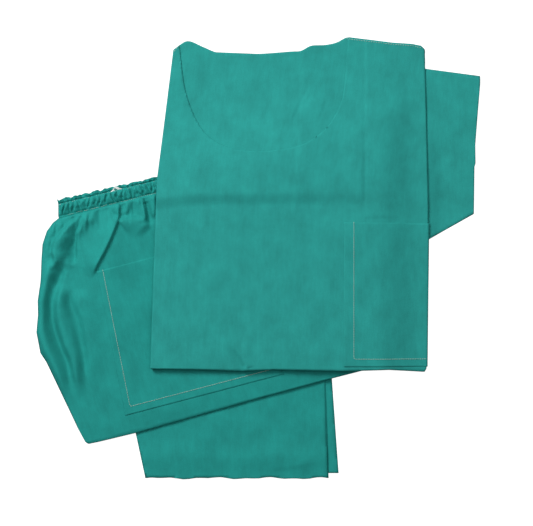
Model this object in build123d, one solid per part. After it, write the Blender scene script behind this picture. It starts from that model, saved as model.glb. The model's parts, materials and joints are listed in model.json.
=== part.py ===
from build123d import *
import os
from functools import cache
from math import cos, pi, radians, sin

# A two-piece patient suit of thin nonwoven cloth, folded and stacked as it comes out of its packet:
# a short-sleeved pullover tunic that lies on a pair of elastic-waist trousers.
# Millimetres. +Z is up from the table and +Y points to the tunic's shoulders.
# Each cloth piece is a slab as thick as its layers lie. The trousers' legs are folded under the hips,
# and the tunic's sides and lower half are folded under its upper half. Cloth that runs past the edge
# of what it lies on follows a ramp down to the table.

# Cloth, thread and clearances
CLOTH = 0.8  # one layer, with the air that lies in it
POCKET_CLOTH = 0.5
THREAD = 0.25  # height of a row of stitches above the cloth
THREAD_WIDTH = 0.8
SEAM_WIDTH = 3.0
STITCH_INSET = 10.0  # from a pocket's edge to its row of stitches
STITCH_CORNER = 3.0
GAP = 0.3  # between pieces that move apart

# Trousers, in their own frame: u along the waist, v down the legs
TROUSER_TURN = 14.7  # degrees that the waist is turned from the tunic's hem
WAIST_LEFT = (-260.6, 70.9)  # the waist's left end
WAIST_WIDTH = 300.0  # as gathered by the elastic
RUFFLE = 6.5  # cloth above the casing
CASING = 17.0
CASING_LAYER = 2.0  # front or back casing, with its elastic
CASING_WALL = 0.5
ELASTIC_SLACK = 0.1
HIP_CURVE = (38.0, 64.0)  # how far the side stands out from the waist's end, and where
HIP_WIDEST = (71.0, 176.0)
HIP_FOLD_FLARE = 42.0
HIP_LENGTH = 308.5  # waist to the fold that turns the thighs under
THIGH_TOP = 60.0  # where the lower legs are turned back under the thighs
THIGH_INSET = (10.0, -10.0)
LOWER_LEG_INSET = (33.0, -35.0)
LEG_HEM_START = (19.0, 374.0)
LEG_HEM_WIDTH = 237.0
UNDER_LEG_SLIP = (13.0, 6.5)  # how far the under leg stands out at its side, and its hem back
TROUSER_POCKET_CORNER = (27.0, 98.5)
TROUSER_POCKET_LEAN = 12.0
TROUSER_POCKET_SIZE = (200.0, 190.0)

# Tunic, as folded
FOLD_LINE = -141.8  # where the lower half turns under
TUNIC_LEFT = -140.4
TUNIC_WIDTH = 358.4
TUNIC_LENGTH = 428.5  # fold line to the top of the right shoulder
LEFT_LEAN = (8.4, 29.2)  # how far the left fold leans in at the waist and at the shoulder
LEAN_WAIST = 241.0  # height of that waist above the fold line
LEFT_SHOULDER_DROP = 16.3
LEFT_NECK_DROP = 9.8
RIGHT_SHOULDER_DROP = 15.6
SHOULDER_CORNER = 5.0
NECK_FROM_LEFT = 145.4  # left fold to the middle of the neck
NECK_HALF_WIDTH = 109.0
FRONT_NECK_DEPTH = 142.0
BACK_NECK_DEPTH = 18.0
NECK_POWER = 2.5  # 2 is an ellipse, more is squarer
HEM_REACH = 230.0  # fold line to the hem of the half that is turned under
LEFT_FLAP = 178.0
RIGHT_FLAP = 80.0
POCKET_SHOWN = 105.0
POCKET_HEIGHT = 187.0
POCKET_RISE = 1.0
SHOULDER_SEAM = 4.0

# Sleeves, measured down from the top of the right shoulder
SLEEVE_SHOWN = 68.8  # the left sleeve's end stands out this far past the right fold
ARMHOLE_TOP = 25.0
ARMHOLE_BOTTOM = 306.0
CUFF_TOP = 50.0
CUFF_BOTTOM = 229.0
CUFF_LEAN = 7.8
UNDERARM = 262.0

# Ramps from the stack down to the table
RAMP_TOP = 56.0  # on v, just past the lower legs' fold
HIP_RAMP_FOOT = 25.0
TUNIC_RAMP_FOOT = -70.0
SIDE_CLEARANCE = 3.0
SIDE_RAMP = 48.0

# Heights that follow from the layers
TUBE = 2 * CLOTH  # a leg, flap or sleeve
LEG_STACK = 4 * TUBE
HIP_BASE = LEG_STACK + GAP
HIP_LAYER = 2 * CLOTH  # gathered cloth lies double
HIP_TOP = HIP_BASE + 2 * HIP_LAYER
TUNIC_BASE = HIP_TOP + POCKET_CLOTH + THREAD + GAP
HEM_TOP = 2 * CLOTH + TUBE
UPPER_BASE = HEM_TOP + GAP
BACK_BASE = UPPER_BASE + 2 * TUBE
FRONT_BASE = BACK_BASE + CLOTH
FRONT_TOP = FRONT_BASE + CLOTH
POCKET_TOP = FRONT_TOP + POCKET_CLOTH
TUNIC_TOP = POCKET_TOP + THREAD

# Places that follow from the sizes
TUNIC_RIGHT = TUNIC_LEFT + TUNIC_WIDTH
SHOULDER = FOLD_LINE + TUNIC_LENGTH
NECK_MIDDLE = TUNIC_LEFT + NECK_FROM_LEFT
LEFT_ARMHOLE = TUNIC_LEFT + LEFT_FLAP
RIGHT_ARMHOLE = TUNIC_RIGHT - RIGHT_FLAP
CUFF = TUNIC_RIGHT + SLEEVE_SHOWN
SLEEVE_LENGTH = CUFF - LEFT_ARMHOLE
REACH = 900.0  # past every edge of the suit
DEPTH = 60.0  # past its top and its underside

TURN = radians(TROUSER_TURN)
ALONG_WAIST = Vector(cos(TURN), sin(TURN), 0)


def place(u, v):
    """A point of the trousers' frame, in the suit's frame."""
    x = WAIST_LEFT[0] + u * cos(TURN) + v * sin(TURN)
    y = WAIST_LEFT[1] + u * sin(TURN) - v * cos(TURN)
    return (x, y)


def plan(*edges):
    """A flat face inside a closed outline."""
    return make_face(Wire(list(Curve(list(edges)).edges())))


def polygon(*points):
    return plan(Polyline(*points, close=True))


def block(face, low, high):
    """A flat face raised between two heights."""
    return Pos(0, 0, low) * extrude(face, high - low, dir=(0, 0, 1))


def column(face):
    """A flat face raised past the suit's top and underside."""
    return block(face, -DEPTH, DEPTH)


# ---- the two spaces that cloth lies in ----

def bar(corners, direction):
    """A long solid with the section that the corners give."""
    return extrude(make_face(Polyline(*corners, close=True)), REACH, dir=direction, both=True)


def waist_section(line, lift):
    """A line of (v, height) pairs as corners across the waist, raised by lift."""
    return [Vector(*place(0, v), height + lift) for v, height in line]


@cache
def hip_layer(low, high):
    """The space between two heights above the folded legs, down to the table at the waist."""
    line = [(-REACH, 0), (HIP_RAMP_FOOT, 0), (RAMP_TOP, HIP_BASE), (REACH, HIP_BASE)]
    corners = waist_section(line, low) + waist_section(line[::-1], high)
    return bar(corners, ALONG_WAIST)


@cache
def below_tunic(lift):
    """All the space under a height above what the tunic lies on."""
    side_top = hip_right_edge() + SIDE_CLEARANCE
    waist_line = [(-REACH, 0), (TUNIC_RAMP_FOOT, 0), (RAMP_TOP, TUNIC_BASE), (REACH, TUNIC_BASE)]
    side_line = [(-REACH, TUNIC_BASE), (side_top, TUNIC_BASE), (side_top + SIDE_RAMP, 0), (REACH, 0)]
    ends = [(REACH, -DEPTH), (-REACH, -DEPTH)]
    waist = bar(waist_section(waist_line, lift) + waist_section(ends, 0), ALONG_WAIST)
    across = [Vector(x, 0, height + lift) for x, height in side_line]
    side = bar(across + [Vector(x, 0, height) for x, height in ends], (0, 1, 0))
    return waist & side


@cache
def tunic_layer(low, high):
    """The space between two heights above what the tunic lies on."""
    return below_tunic(high) - below_tunic(low)


# ---- trousers ----

def hip_side(edge, outward, top):
    """The curved side of the hips from the casing to the fold, at one end of the waist."""
    points = [(0, top), HIP_CURVE, HIP_WIDEST, (HIP_FOLD_FLARE, HIP_LENGTH)]
    return Spline(*[place(edge + outward * out, v) for out, v in points])


def hip_right_edge():
    """How far right the hips reach."""
    return hip_side(WAIST_WIDTH, 1, CASING).bounding_box().max.X


def hip_plan():
    left = hip_side(0, -1, CASING)
    right = hip_side(WAIST_WIDTH, 1, CASING)
    return plan(left, Line(left @ 1, right @ 1), right, Line(right @ 0, left @ 0))


def waist_strip(start, end, low, high):
    """A straight block along the waist, between two lines of v and two heights."""
    corners = [(0, start), (WAIST_WIDTH, start), (WAIST_WIDTH, end), (0, end)]
    return block(polygon(*[place(u, v) for u, v in corners]), low, high)


def thigh(level, slip):
    """One thigh, turned under the hips; slip lowers the fold's right end."""
    corners = [
        place(-HIP_FOLD_FLARE, HIP_LENGTH),
        place(WAIST_WIDTH + HIP_FOLD_FLARE, HIP_LENGTH + slip),
        place(WAIST_WIDTH - THIGH_INSET[1], THIGH_TOP),
        place(THIGH_INSET[0], THIGH_TOP),
    ]
    return block(polygon(*corners), level * TUBE, (level + 1) * TUBE)


def lower_leg_corners(aside, back):
    """A lower leg's plan, turned back under the thighs, its hem level with the tunic's."""
    hem_x, hem_y = place(*LEG_HEM_START)
    return [
        place(LOWER_LEG_INSET[0], THIGH_TOP),
        place(WAIST_WIDTH - LOWER_LEG_INSET[1], THIGH_TOP),
        (hem_x + LEG_HEM_WIDTH + aside, hem_y + back),
        (hem_x + aside, hem_y + back),
    ]


def lower_leg(level, aside, back):
    return block(polygon(*lower_leg_corners(aside, back)), level * TUBE, (level + 1) * TUBE)


def leg_seam():
    """The seam allowance that stands out along the upper lower leg's right edge."""
    top, hem = lower_leg_corners(0, 0)[1:3]
    outer = [(hem[0] + SEAM_WIDTH, hem[1]), (top[0] + SEAM_WIDTH, top[1])]
    return block(polygon(top, hem, *outer), TUBE, TUBE + CLOTH)


def casing(level):
    """Front or back casing: a flat tube round its elastic, with the ruffle above it."""
    base = level * CASING_LAYER
    body = waist_strip(-RUFFLE, CASING, base, base + CASING_LAYER)
    channel = waist_strip(CASING_WALL, CASING - CASING_WALL, base + CASING_WALL, base + CASING_LAYER - CASING_WALL)
    return body - channel


def elastic(level):
    base = level * CASING_LAYER + CASING_WALL + ELASTIC_SLACK / 2
    depth = CASING_LAYER - 2 * CASING_WALL - ELASTIC_SLACK
    return waist_strip(CASING_WALL + ELASTIC_SLACK, CASING - CASING_WALL - ELASTIC_SLACK, base, base + depth)


def casing_stitches(v):
    top = 2 * CASING_LAYER
    return waist_strip(v - THREAD_WIDTH / 2, v + THREAD_WIDTH / 2, top, top + THREAD)


def trouser_pocket_corner(right, bottom):
    """A corner of the trouser pocket; right and bottom are shares of its width and height."""
    width, height = TROUSER_POCKET_SIZE
    u = TROUSER_POCKET_CORNER[0] - TROUSER_POCKET_LEAN * bottom * (1 - right) + width * right
    return (u, TROUSER_POCKET_CORNER[1] + height * bottom)


def trouser_pocket():
    corners = [trouser_pocket_corner(*c) for c in ((0, 0), (1, 0), (1, 1), (0, 1))]
    return column(polygon(*[place(u, v) for u, v in corners])) & hip_layer(2 * HIP_LAYER, 2 * HIP_LAYER + POCKET_CLOTH)


def trouser_pocket_stitches():
    """One row down the left side, along the bottom and up the right side."""
    inset = STITCH_INSET
    top_left, top_right = trouser_pocket_corner(0, 0), trouser_pocket_corner(1, 0)
    low_left, low_right = trouser_pocket_corner(0, 1), trouser_pocket_corner(1, 1)
    route = [
        (top_left[0] + inset, top_left[1] + THREAD_WIDTH),
        (low_left[0] + inset, low_left[1] - inset),
        (low_right[0] - inset, low_right[1] - inset),
        (top_right[0] - inset, top_right[1] + THREAD_WIDTH),
    ]
    path = FilletPolyline(*[place(u, v) for u, v in route], radius=STITCH_CORNER)
    base = 2 * HIP_LAYER + POCKET_CLOTH
    return column(trace(path, THREAD_WIDTH)) & hip_layer(base, base + THREAD)


# ---- tunic ----

def left_fold():
    """The left fold from the fold line to the shoulder."""
    return [
        (TUNIC_LEFT, FOLD_LINE),
        (TUNIC_LEFT + LEFT_LEAN[0], FOLD_LINE + LEAN_WAIST),
        (TUNIC_LEFT + LEFT_LEAN[1], SHOULDER - LEFT_SHOULDER_DROP),
    ]


def neck_end(side):
    """Where the neckline meets the left (-1) or right (1) shoulder."""
    drop = LEFT_NECK_DROP if side < 0 else 0
    return (NECK_MIDDLE + side * NECK_HALF_WIDTH, SHOULDER - drop)


def neckline(depth):
    """A squarish half ellipse that hangs between the two shoulders."""
    left, right = neck_end(-1), neck_end(1)
    points = [left]
    steps = 12
    for step in range(1, steps):
        turn = pi * step / steps
        across = abs(cos(turn)) ** (2 / NECK_POWER) * (-1 if turn < pi / 2 else 1)
        down = sin(turn) ** (2 / NECK_POWER)
        share = (across + 1) / 2
        chord = left[1] + (right[1] - left[1]) * share
        points.append((NECK_MIDDLE + NECK_HALF_WIDTH * across, chord - depth * down))
    return Spline(*points, right)


def panel_plan(neck_depth):
    """The tunic's upper half with a neckline of the given depth."""
    shoulder_end = (TUNIC_RIGHT - SHOULDER_CORNER, SHOULDER - RIGHT_SHOULDER_DROP)
    corner_foot = (TUNIC_RIGHT, SHOULDER - RIGHT_SHOULDER_DROP - SHOULDER_CORNER)
    round_the_neck = neckline(neck_depth)
    rest = Polyline(neck_end(1), shoulder_end, corner_foot, (TUNIC_RIGHT, FOLD_LINE), *left_fold(), neck_end(-1))
    return plan(round_the_neck, rest)


def upper_panel(neck_depth, low, high):
    return column(panel_plan(neck_depth)) & tunic_layer(low, high)


def left_of(x, top):
    """The tunic from its left fold to a line, up to a height."""
    left = left_fold()
    share = min(1, (top - left[1][1]) / (left[2][1] - left[1][1]))
    end = left[1][0] + (left[2][0] - left[1][0]) * share if share > 0 else left[1][0]
    middle = [left[1]] if share > 0 else []
    return polygon((x, top), (x, FOLD_LINE), left[0], *middle, (end, top))


def box_plan(left, right, low, high):
    return polygon((left, low), (right, low), (right, high), (left, high))


def hem_piece(face, low, high):
    """A piece of the half that is turned under."""
    return column(face) & tunic_layer(low, high)


def sleeve_edge(x, top, bottom):
    """Heights of a sleeve's upper or lower edge at x, between its armhole and its cuff."""
    share = (x - LEFT_ARMHOLE) / SLEEVE_LENGTH
    return top + (bottom - top) * share


def left_sleeve_plan(start, end):
    """The left sleeve, folded across behind the tunic, from one x to another."""
    top = [(x, SHOULDER - sleeve_edge(x, ARMHOLE_TOP, CUFF_TOP)) for x in (start, end)]
    under = (TUNIC_RIGHT, SHOULDER - UNDERARM)
    if end < CUFF:
        return polygon((start, SHOULDER - ARMHOLE_BOTTOM), under, top[1], top[0])
    cuff_foot = (CUFF - CUFF_LEAN, SHOULDER - CUFF_BOTTOM)
    rise = (cuff_foot[1] - under[1]) * (start - under[0]) / (cuff_foot[0] - under[0])
    return polygon((start, under[1] + rise), cuff_foot, top[1], top[0])


def right_sleeve_plan():
    """The right sleeve, folded across behind the tunic to the left."""
    cuff = RIGHT_ARMHOLE - SLEEVE_LENGTH
    return polygon(
        (RIGHT_ARMHOLE, SHOULDER - ARMHOLE_TOP),
        (cuff, SHOULDER - CUFF_TOP),
        (cuff + CUFF_LEAN, SHOULDER - CUFF_BOTTOM),
        (RIGHT_ARMHOLE, SHOULDER - UNDERARM),
    )


def sleeve_seam():
    """The seam allowance that stands out along the sleeve end's underarm edge."""
    start = (TUNIC_RIGHT + GAP, SHOULDER - UNDERARM)
    foot = (CUFF - CUFF_LEAN, SHOULDER - CUFF_BOTTOM)
    whole = polygon(start, foot, (foot[0], foot[1] - SEAM_WIDTH), (start[0], start[1] - SEAM_WIDTH))
    return block(whole - left_sleeve_plan(TUNIC_RIGHT + GAP, CUFF), 0, CLOTH)


def tunic_pocket():
    low = FOLD_LINE + POCKET_RISE
    face = box_plan(TUNIC_RIGHT - POCKET_SHOWN, TUNIC_RIGHT, low, low + POCKET_HEIGHT)
    return column(face) & tunic_layer(FRONT_TOP, POCKET_TOP)


def tunic_pocket_stitches():
    """One row down the left side and along the bottom to the right fold."""
    x = TUNIC_RIGHT - POCKET_SHOWN + STITCH_INSET
    low = FOLD_LINE + POCKET_RISE + STITCH_INSET
    top = FOLD_LINE + POCKET_RISE + POCKET_HEIGHT - THREAD_WIDTH
    path = FilletPolyline((x, top), (x, low), (TUNIC_RIGHT - THREAD_WIDTH, low), radius=STITCH_CORNER)
    return column(trace(path, THREAD_WIDTH)) & tunic_layer(POCKET_TOP, TUNIC_TOP)


def shoulder_seam(start, end):
    """A narrow raised seam along one shoulder, just inside its edge."""
    face = polygon(start, end, (end[0], end[1] - SHOULDER_SEAM), (start[0], start[1] - SHOULDER_SEAM))
    return column(face) & tunic_layer(FRONT_TOP, POCKET_TOP)


def trouser_parts():
    hips = column(hip_plan())
    aside, back = UNDER_LEG_SLIP
    return {
        "right_lower_leg": lower_leg(0, aside, back),
        "left_lower_leg": lower_leg(1, 0, 0),
        "left_leg_seam": leg_seam(),
        "right_thigh": thigh(2, UNDER_LEG_SLIP[1]),
        "left_thigh": thigh(3, 0),
        "trouser_back_panel": hips & hip_layer(0, HIP_LAYER),
        "trouser_front_panel": hips & hip_layer(HIP_LAYER, 2 * HIP_LAYER),
        "waist_casing_back": casing(0),
        "waist_casing_front": casing(1),
        "waist_elastic_back": elastic(0),
        "waist_elastic_front": elastic(1),
        "casing_upper_stitches": casing_stitches(THREAD_WIDTH / 2),
        "casing_lower_stitches": casing_stitches(CASING - THREAD_WIDTH / 2),
        "trouser_pocket": trouser_pocket(),
        "trouser_pocket_stitches": trouser_pocket_stitches(),
    }


def tunic_parts():
    hem = FOLD_LINE + HEM_REACH
    flap_top = SHOULDER - ARMHOLE_TOP
    hem_plan = left_of(TUNIC_RIGHT, hem)
    right_strip = (RIGHT_ARMHOLE, TUNIC_RIGHT)
    left_end = (TUNIC_LEFT + LEFT_LEAN[1], SHOULDER - LEFT_SHOULDER_DROP)
    right_end = (TUNIC_RIGHT - SHOULDER_CORNER, SHOULDER - RIGHT_SHOULDER_DROP)
    left_band = (UPPER_BASE, UPPER_BASE + TUBE)
    right_band = (UPPER_BASE + TUBE, BACK_BASE)
    return {
        "tunic_front_hem_half": hem_piece(hem_plan, 0, CLOTH),
        "tunic_back_hem_half": hem_piece(hem_plan, CLOTH, 2 * CLOTH),
        "hem_left_flap": hem_piece(left_of(LEFT_ARMHOLE, hem), 2 * CLOTH, HEM_TOP),
        "hem_right_flap": hem_piece(box_plan(*right_strip, FOLD_LINE, hem), 2 * CLOTH, HEM_TOP),
        "left_side_flap": column(left_of(LEFT_ARMHOLE, flap_top)) & tunic_layer(*left_band),
        "left_sleeve": column(left_sleeve_plan(LEFT_ARMHOLE, TUNIC_RIGHT)) & tunic_layer(*left_band),
        "right_side_flap": column(box_plan(*right_strip, FOLD_LINE, flap_top)) & tunic_layer(*right_band),
        "right_sleeve": column(right_sleeve_plan()) & tunic_layer(*right_band),
        "tunic_back_panel": upper_panel(BACK_NECK_DEPTH, BACK_BASE, FRONT_BASE),
        "tunic_front_panel": upper_panel(FRONT_NECK_DEPTH, FRONT_BASE, FRONT_TOP),
        "tunic_pocket": tunic_pocket(),
        "tunic_pocket_stitches": tunic_pocket_stitches(),
        "left_shoulder_seam": shoulder_seam(left_end, neck_end(-1)),
        "right_shoulder_seam": shoulder_seam(neck_end(1), right_end),
        "left_sleeve_end": block(left_sleeve_plan(TUNIC_RIGHT + GAP, CUFF), 0, TUBE),
        "sleeve_end_seam": sleeve_seam(),
    }


def joint_places():
    """A point on each hinge's line, before the suit is centred."""
    sleeve_height = (TUNIC_BASE + TUNIC_TOP + GAP + TUBE) / 2
    return {
        "trouser_fold": (*place(0, HIP_LENGTH), LEG_STACK + GAP / 2),
        "tunic_fold": (NECK_MIDDLE, FOLD_LINE, TUNIC_BASE + FRONT_TOP / 2),
        "sleeve_fold": (TUNIC_RIGHT + GAP / 2, SHOULDER - CUFF_TOP, sleeve_height),
    }


def main():
    """Centre the suit over its own box and write one file for each piece."""
    parts = {**trouser_parts(), **tunic_parts()}
    box = Compound(list(parts.values())).bounding_box()
    shift = Pos(-(box.min.X + box.max.X) / 2, -(box.min.Y + box.max.Y) / 2, -box.min.Z)
    os.makedirs("parts", exist_ok=True)
    for name, solid in parts.items():
        export_step(shift * solid, f"parts/{name}.step")
    print("size", box.size)
    for name, point in joint_places().items():
        print(name, (shift * Pos(*point)).position)
    print("trouser_fold axis", ALONG_WAIST)


main()
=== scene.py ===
import json
from math import cos, pi, radians, sin

import bpy
import numpy as np
from bpy.props import FloatProperty, FloatVectorProperty, IntProperty, PointerProperty
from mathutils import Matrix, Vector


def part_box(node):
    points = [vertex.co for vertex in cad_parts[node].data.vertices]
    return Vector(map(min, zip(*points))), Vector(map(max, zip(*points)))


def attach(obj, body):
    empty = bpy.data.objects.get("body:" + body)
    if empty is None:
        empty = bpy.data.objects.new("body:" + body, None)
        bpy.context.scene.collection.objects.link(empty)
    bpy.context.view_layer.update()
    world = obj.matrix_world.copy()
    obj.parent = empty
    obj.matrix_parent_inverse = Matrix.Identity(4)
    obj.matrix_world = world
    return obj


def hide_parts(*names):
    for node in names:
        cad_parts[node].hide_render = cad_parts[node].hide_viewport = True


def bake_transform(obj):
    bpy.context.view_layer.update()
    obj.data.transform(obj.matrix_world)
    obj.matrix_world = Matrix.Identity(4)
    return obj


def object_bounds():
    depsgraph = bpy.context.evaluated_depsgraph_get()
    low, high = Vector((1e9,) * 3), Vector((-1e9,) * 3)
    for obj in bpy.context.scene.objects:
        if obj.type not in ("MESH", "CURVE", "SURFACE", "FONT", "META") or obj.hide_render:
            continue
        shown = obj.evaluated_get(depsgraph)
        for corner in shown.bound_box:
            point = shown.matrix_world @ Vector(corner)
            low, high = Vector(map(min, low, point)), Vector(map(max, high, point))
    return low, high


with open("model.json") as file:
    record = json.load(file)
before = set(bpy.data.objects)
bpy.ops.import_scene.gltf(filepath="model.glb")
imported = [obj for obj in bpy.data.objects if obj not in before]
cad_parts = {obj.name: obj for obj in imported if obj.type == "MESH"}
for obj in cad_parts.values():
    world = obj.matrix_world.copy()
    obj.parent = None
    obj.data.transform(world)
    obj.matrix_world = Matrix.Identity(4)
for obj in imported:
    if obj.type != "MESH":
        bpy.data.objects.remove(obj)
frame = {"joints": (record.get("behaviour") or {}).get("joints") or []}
cad_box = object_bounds()

bl_info = {
    "name": "Folded patient suit",
    "version": (1, 0, 0),
    "blender": (4, 5, 0),
    "location": "View3D > Sidebar > Suit",
    "description": "Builds a folded nonwoven tunic and trousers around its frame",
    "category": "Add Mesh",
}

# Lengths are in metres unless a comment says millimetres.
MM = 0.001
JOINTS = {joint["name"]: joint for joint in frame["joints"]}


def top_of(node):
    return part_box(node)[1]


def foot_of(node):
    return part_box(node)[0]


# ---- places that come from the frame ----

HIP_LENGTH = 308.5 * MM  # waist to the fold that turns the thighs under
TROUSER_FOLD = np.array(JOINTS["trouser_fold"]["pos_m"])
ALONG = np.array(JOINTS["trouser_fold"]["axis"][:2])
DOWN = np.array([ALONG[1], -ALONG[0]])
WAIST = TROUSER_FOLD[:2] - HIP_LENGTH * DOWN

PANEL_LOW, PANEL_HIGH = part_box("tunic_front_panel")
LEFT, RIGHT, SHOULDER = PANEL_LOW.x, PANEL_HIGH.x, PANEL_HIGH.y
FOLD_LINE = JOINTS["tunic_fold"]["pos_m"][1]
NECK_MIDDLE = JOINTS["tunic_fold"]["pos_m"][0]
HEM_EDGE = top_of("hem_left_flap").y
LEFT_ARMHOLE = top_of("left_side_flap").x
RIGHT_ARMHOLE = foot_of("right_side_flap").x
CUFF = top_of("left_sleeve_end").x
TUBE = top_of("left_sleeve_end").z
LEG_STACK = top_of("left_thigh").z
TUNIC_BASE = top_of("tunic_front_hem_half").z - TUBE / 2


# ---- small pieces of arithmetic ----

def smooth(value):
    """0 below 0, 1 above 1, and a smooth rise between."""
    value = np.clip(value, 0, 1)
    return value * value * (3 - 2 * value)


def bell(value):
    return np.exp(-np.square(value))


def squarish(turn, power):
    """A point of a half circle drawn out towards a square: how far out, and how far up."""
    out = cos(turn) ** (2 / power) if cos(turn) > 1e-9 else 0.0
    return out, float(np.sign(sin(turn)) * abs(sin(turn)) ** (2 / power))


def at_least(value, floor, blur):
    """A value kept above a floor, with a soft bend where it meets it."""
    over = (value - floor) / blur
    return floor + blur * np.where(over > 30, over, np.log1p(np.exp(np.minimum(over, 30))))


def clouds(x, y, size, seed):
    """Smooth noise from -1 to 1 with hills about as far apart as size."""
    draw = np.random.default_rng(seed)
    table = draw.uniform(-1, 1, (64, 64))
    gx, gy = x / size + 17.3, y / size + 11.7
    ix, iy = np.floor(gx).astype(int), np.floor(gy).astype(int)
    fx, fy = smooth(gx - ix), smooth(gy - iy)
    low = table[ix % 64, iy % 64] * (1 - fx) + table[(ix + 1) % 64, iy % 64] * fx
    high = table[ix % 64, (iy + 1) % 64] * (1 - fx) + table[(ix + 1) % 64, (iy + 1) % 64] * fx
    return low * (1 - fy) + high * fy


def curve_through(points, steps=10):
    """A smooth line through a few points."""
    points = np.array(points, float)
    ends = np.vstack([2 * points[0] - points[1], points, 2 * points[-1] - points[-2]])
    line = []
    for a, b, c, d in zip(ends, ends[1:], ends[2:], ends[3:]):
        for step in range(steps):
            t = step / steps
            line.append(0.5 * (2 * b + (c - a) * t + (2 * a - 5 * b + 4 * c - d) * t * t
                               + (3 * b - a - 3 * c + d) * t ** 3))
    return np.array(line + [points[-1]])


def beside(points, line):
    """Each point's distance from a line (over 0 on its left), and how far along the line it is, 0 to 1."""
    lengths = np.linalg.norm(np.diff(line, axis=0), axis=1)
    before = np.concatenate([[0], np.cumsum(lengths)])
    best = np.full(len(points), 1e9)
    side, share = np.zeros(len(points)), np.zeros(len(points))
    for a, b, length, start in zip(line, line[1:], lengths, before):
        run = (b - a) / length
        t = np.clip((points - a) @ run, 0, length)
        away = points - (a + t[:, None] * run)
        distance = np.linalg.norm(away, axis=1)
        nearer = distance < best
        best[nearer] = distance[nearer]
        turn = run[0] * away[:, 1] - run[1] * away[:, 0]
        side[nearer] = np.where(turn[nearer] >= 0, 1, -1)
        share[nearer] = ((start + t) / before[-1])[nearer]
    return best * side, share


def pleat(points, line, left, right, height, fade=(0.15, 0.15)):
    """A raised fold along a line that falls to nothing within left and right of it."""
    line = curve_through(line, 6)
    reach = max(left, right)
    near = ((points > line.min(0) - reach) & (points < line.max(0) + reach)).all(-1)
    raised = np.zeros(near.shape)
    if near.any():
        distance, share = beside(points[near], line)
        fall = np.where(distance >= 0, distance / left, -distance / right)
        ends = smooth(share / max(fade[0], 1e-6)) * smooth((1 - share) / max(fade[1], 1e-6))
        raised[near] = height * (1 - smooth(fall)) * ends
    return raised


# ---- cloth patches ----

# Angles round a fold from its lower layer to its upper, finer in the upper half
TURN_ANGLES = np.concatenate([np.linspace(-pi / 2, 0, 9)[:-1], np.linspace(0, pi / 2, 19)])


def lines(*stretches):
    """Grid lines from (start, end, spacing) stretches."""
    found = [np.linspace(a, b, max(2, int(round(abs(b - a) / gap)) + 1)) for a, b, gap in stretches]
    return np.unique(np.round(np.concatenate(found), 7))


def inside_of(points, outline):
    """Whether each point is inside a closed outline."""
    inside = np.zeros(len(points), bool)
    x, y = points[:, 0], points[:, 1]
    for a, b in zip(outline, np.roll(outline, -1, axis=0)):
        if a[1] == b[1]:
            continue
        crosses = (a[1] > y) != (b[1] > y)
        inside ^= crosses & (x < (b[0] - a[0]) * (y - a[1]) / (b[1] - a[1]) + a[0])
    return inside


def fill(outline, xs, ys, corner=30):
    """A net of small faces inside a closed outline: points near the outline move onto it."""
    outline = np.array(outline, float)
    gx, gy = np.meshgrid(xs, ys, indexing="ij")
    points = np.stack([gx.ravel(), gy.ravel()], 1)
    grid = points.copy()
    gap_x, gap_y = np.diff(xs), np.diff(ys)
    wide = np.maximum(np.append(gap_x, 0), np.insert(gap_x, 0, 0))
    tall = np.maximum(np.append(gap_y, 0), np.insert(gap_y, 0, 0))
    reach = 0.5 * np.maximum(wide[:, None], tall[None, :]).ravel()
    inside = inside_of(points, outline)
    best = np.full(len(points), 1e9)
    spot = points.copy()
    for a, b in zip(outline, np.roll(outline, -1, axis=0)):
        run = b - a
        length = run @ run
        if length == 0:
            continue
        t = np.clip((grid - a) @ run / length, 0, 1)
        near = a + t[:, None] * run
        distance = np.linalg.norm(grid - near, axis=1)
        nearer = distance < best
        best[nearer] = distance[nearer]
        spot[nearer] = near[nearer]
    state = np.where(inside, 1, -1)
    snapped = best <= reach * 1.0001
    points[snapped] = spot[snapped]
    state[snapped] = 0
    before, after = np.roll(outline, 1, axis=0), np.roll(outline, -1, axis=0)
    for a, b, c in zip(before, outline, after):
        one, two = b - a, c - b
        turn = abs(np.degrees(np.arctan2(one[0] * two[1] - one[1] * two[0], one @ two)))
        if turn > corner:
            nearest = np.argmin(np.linalg.norm(grid - b, axis=1))
            points[nearest] = b
            state[nearest] = 0
    return net_faces(points, state.reshape(gx.shape), outline)


def net_faces(points, state, outline):
    """The faces of a grid whose points are inside (1), on (0) or outside (-1) an outline."""
    rows, columns = state.shape
    index = np.arange(rows * columns).reshape(rows, columns)
    quads = np.stack([index[:-1, :-1], index[1:, :-1], index[1:, 1:], index[:-1, 1:]], -1).reshape(-1, 4)
    flags = state.ravel()[quads]
    out = (flags < 0).sum(1)
    whole = quads[out == 0]
    middle = points[whole].mean(1)
    whole = whole[(state.ravel()[whole] > 0).any(1) | inside_of(middle, outline)]
    cut = quads[out == 1]
    keep = flags[out == 1] >= 0
    corners = cut[keep].reshape(-1, 3)
    middle = points[corners].mean(1)
    corners = corners[(state.ravel()[corners] > 0).any(1) | inside_of(middle, outline)]
    used = np.unique(np.concatenate([whole.ravel(), corners.ravel()]))
    renumber = np.full(len(points), -1)
    renumber[used] = np.arange(len(used))
    faces = [list(map(int, f)) for f in renumber[whole]] + [list(map(int, f)) for f in renumber[corners]]
    return points[used], faces


def strip_faces(columns, rows, across_first=True):
    """The faces of a net whose points run down one column after another."""
    faces = []
    for i in range(columns - 1):
        for j in range(rows - 1):
            a = i * rows + j
            b, c, d = a + rows, a + rows + 1, a + 1
            faces.append([a, b, c, d] if across_first else [a, d, c, b])
    return faces


def turned(faces):
    """Faces that look the other way: the trousers' frame runs down, so its faces need it."""
    return [face[::-1] for face in faces]


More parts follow.
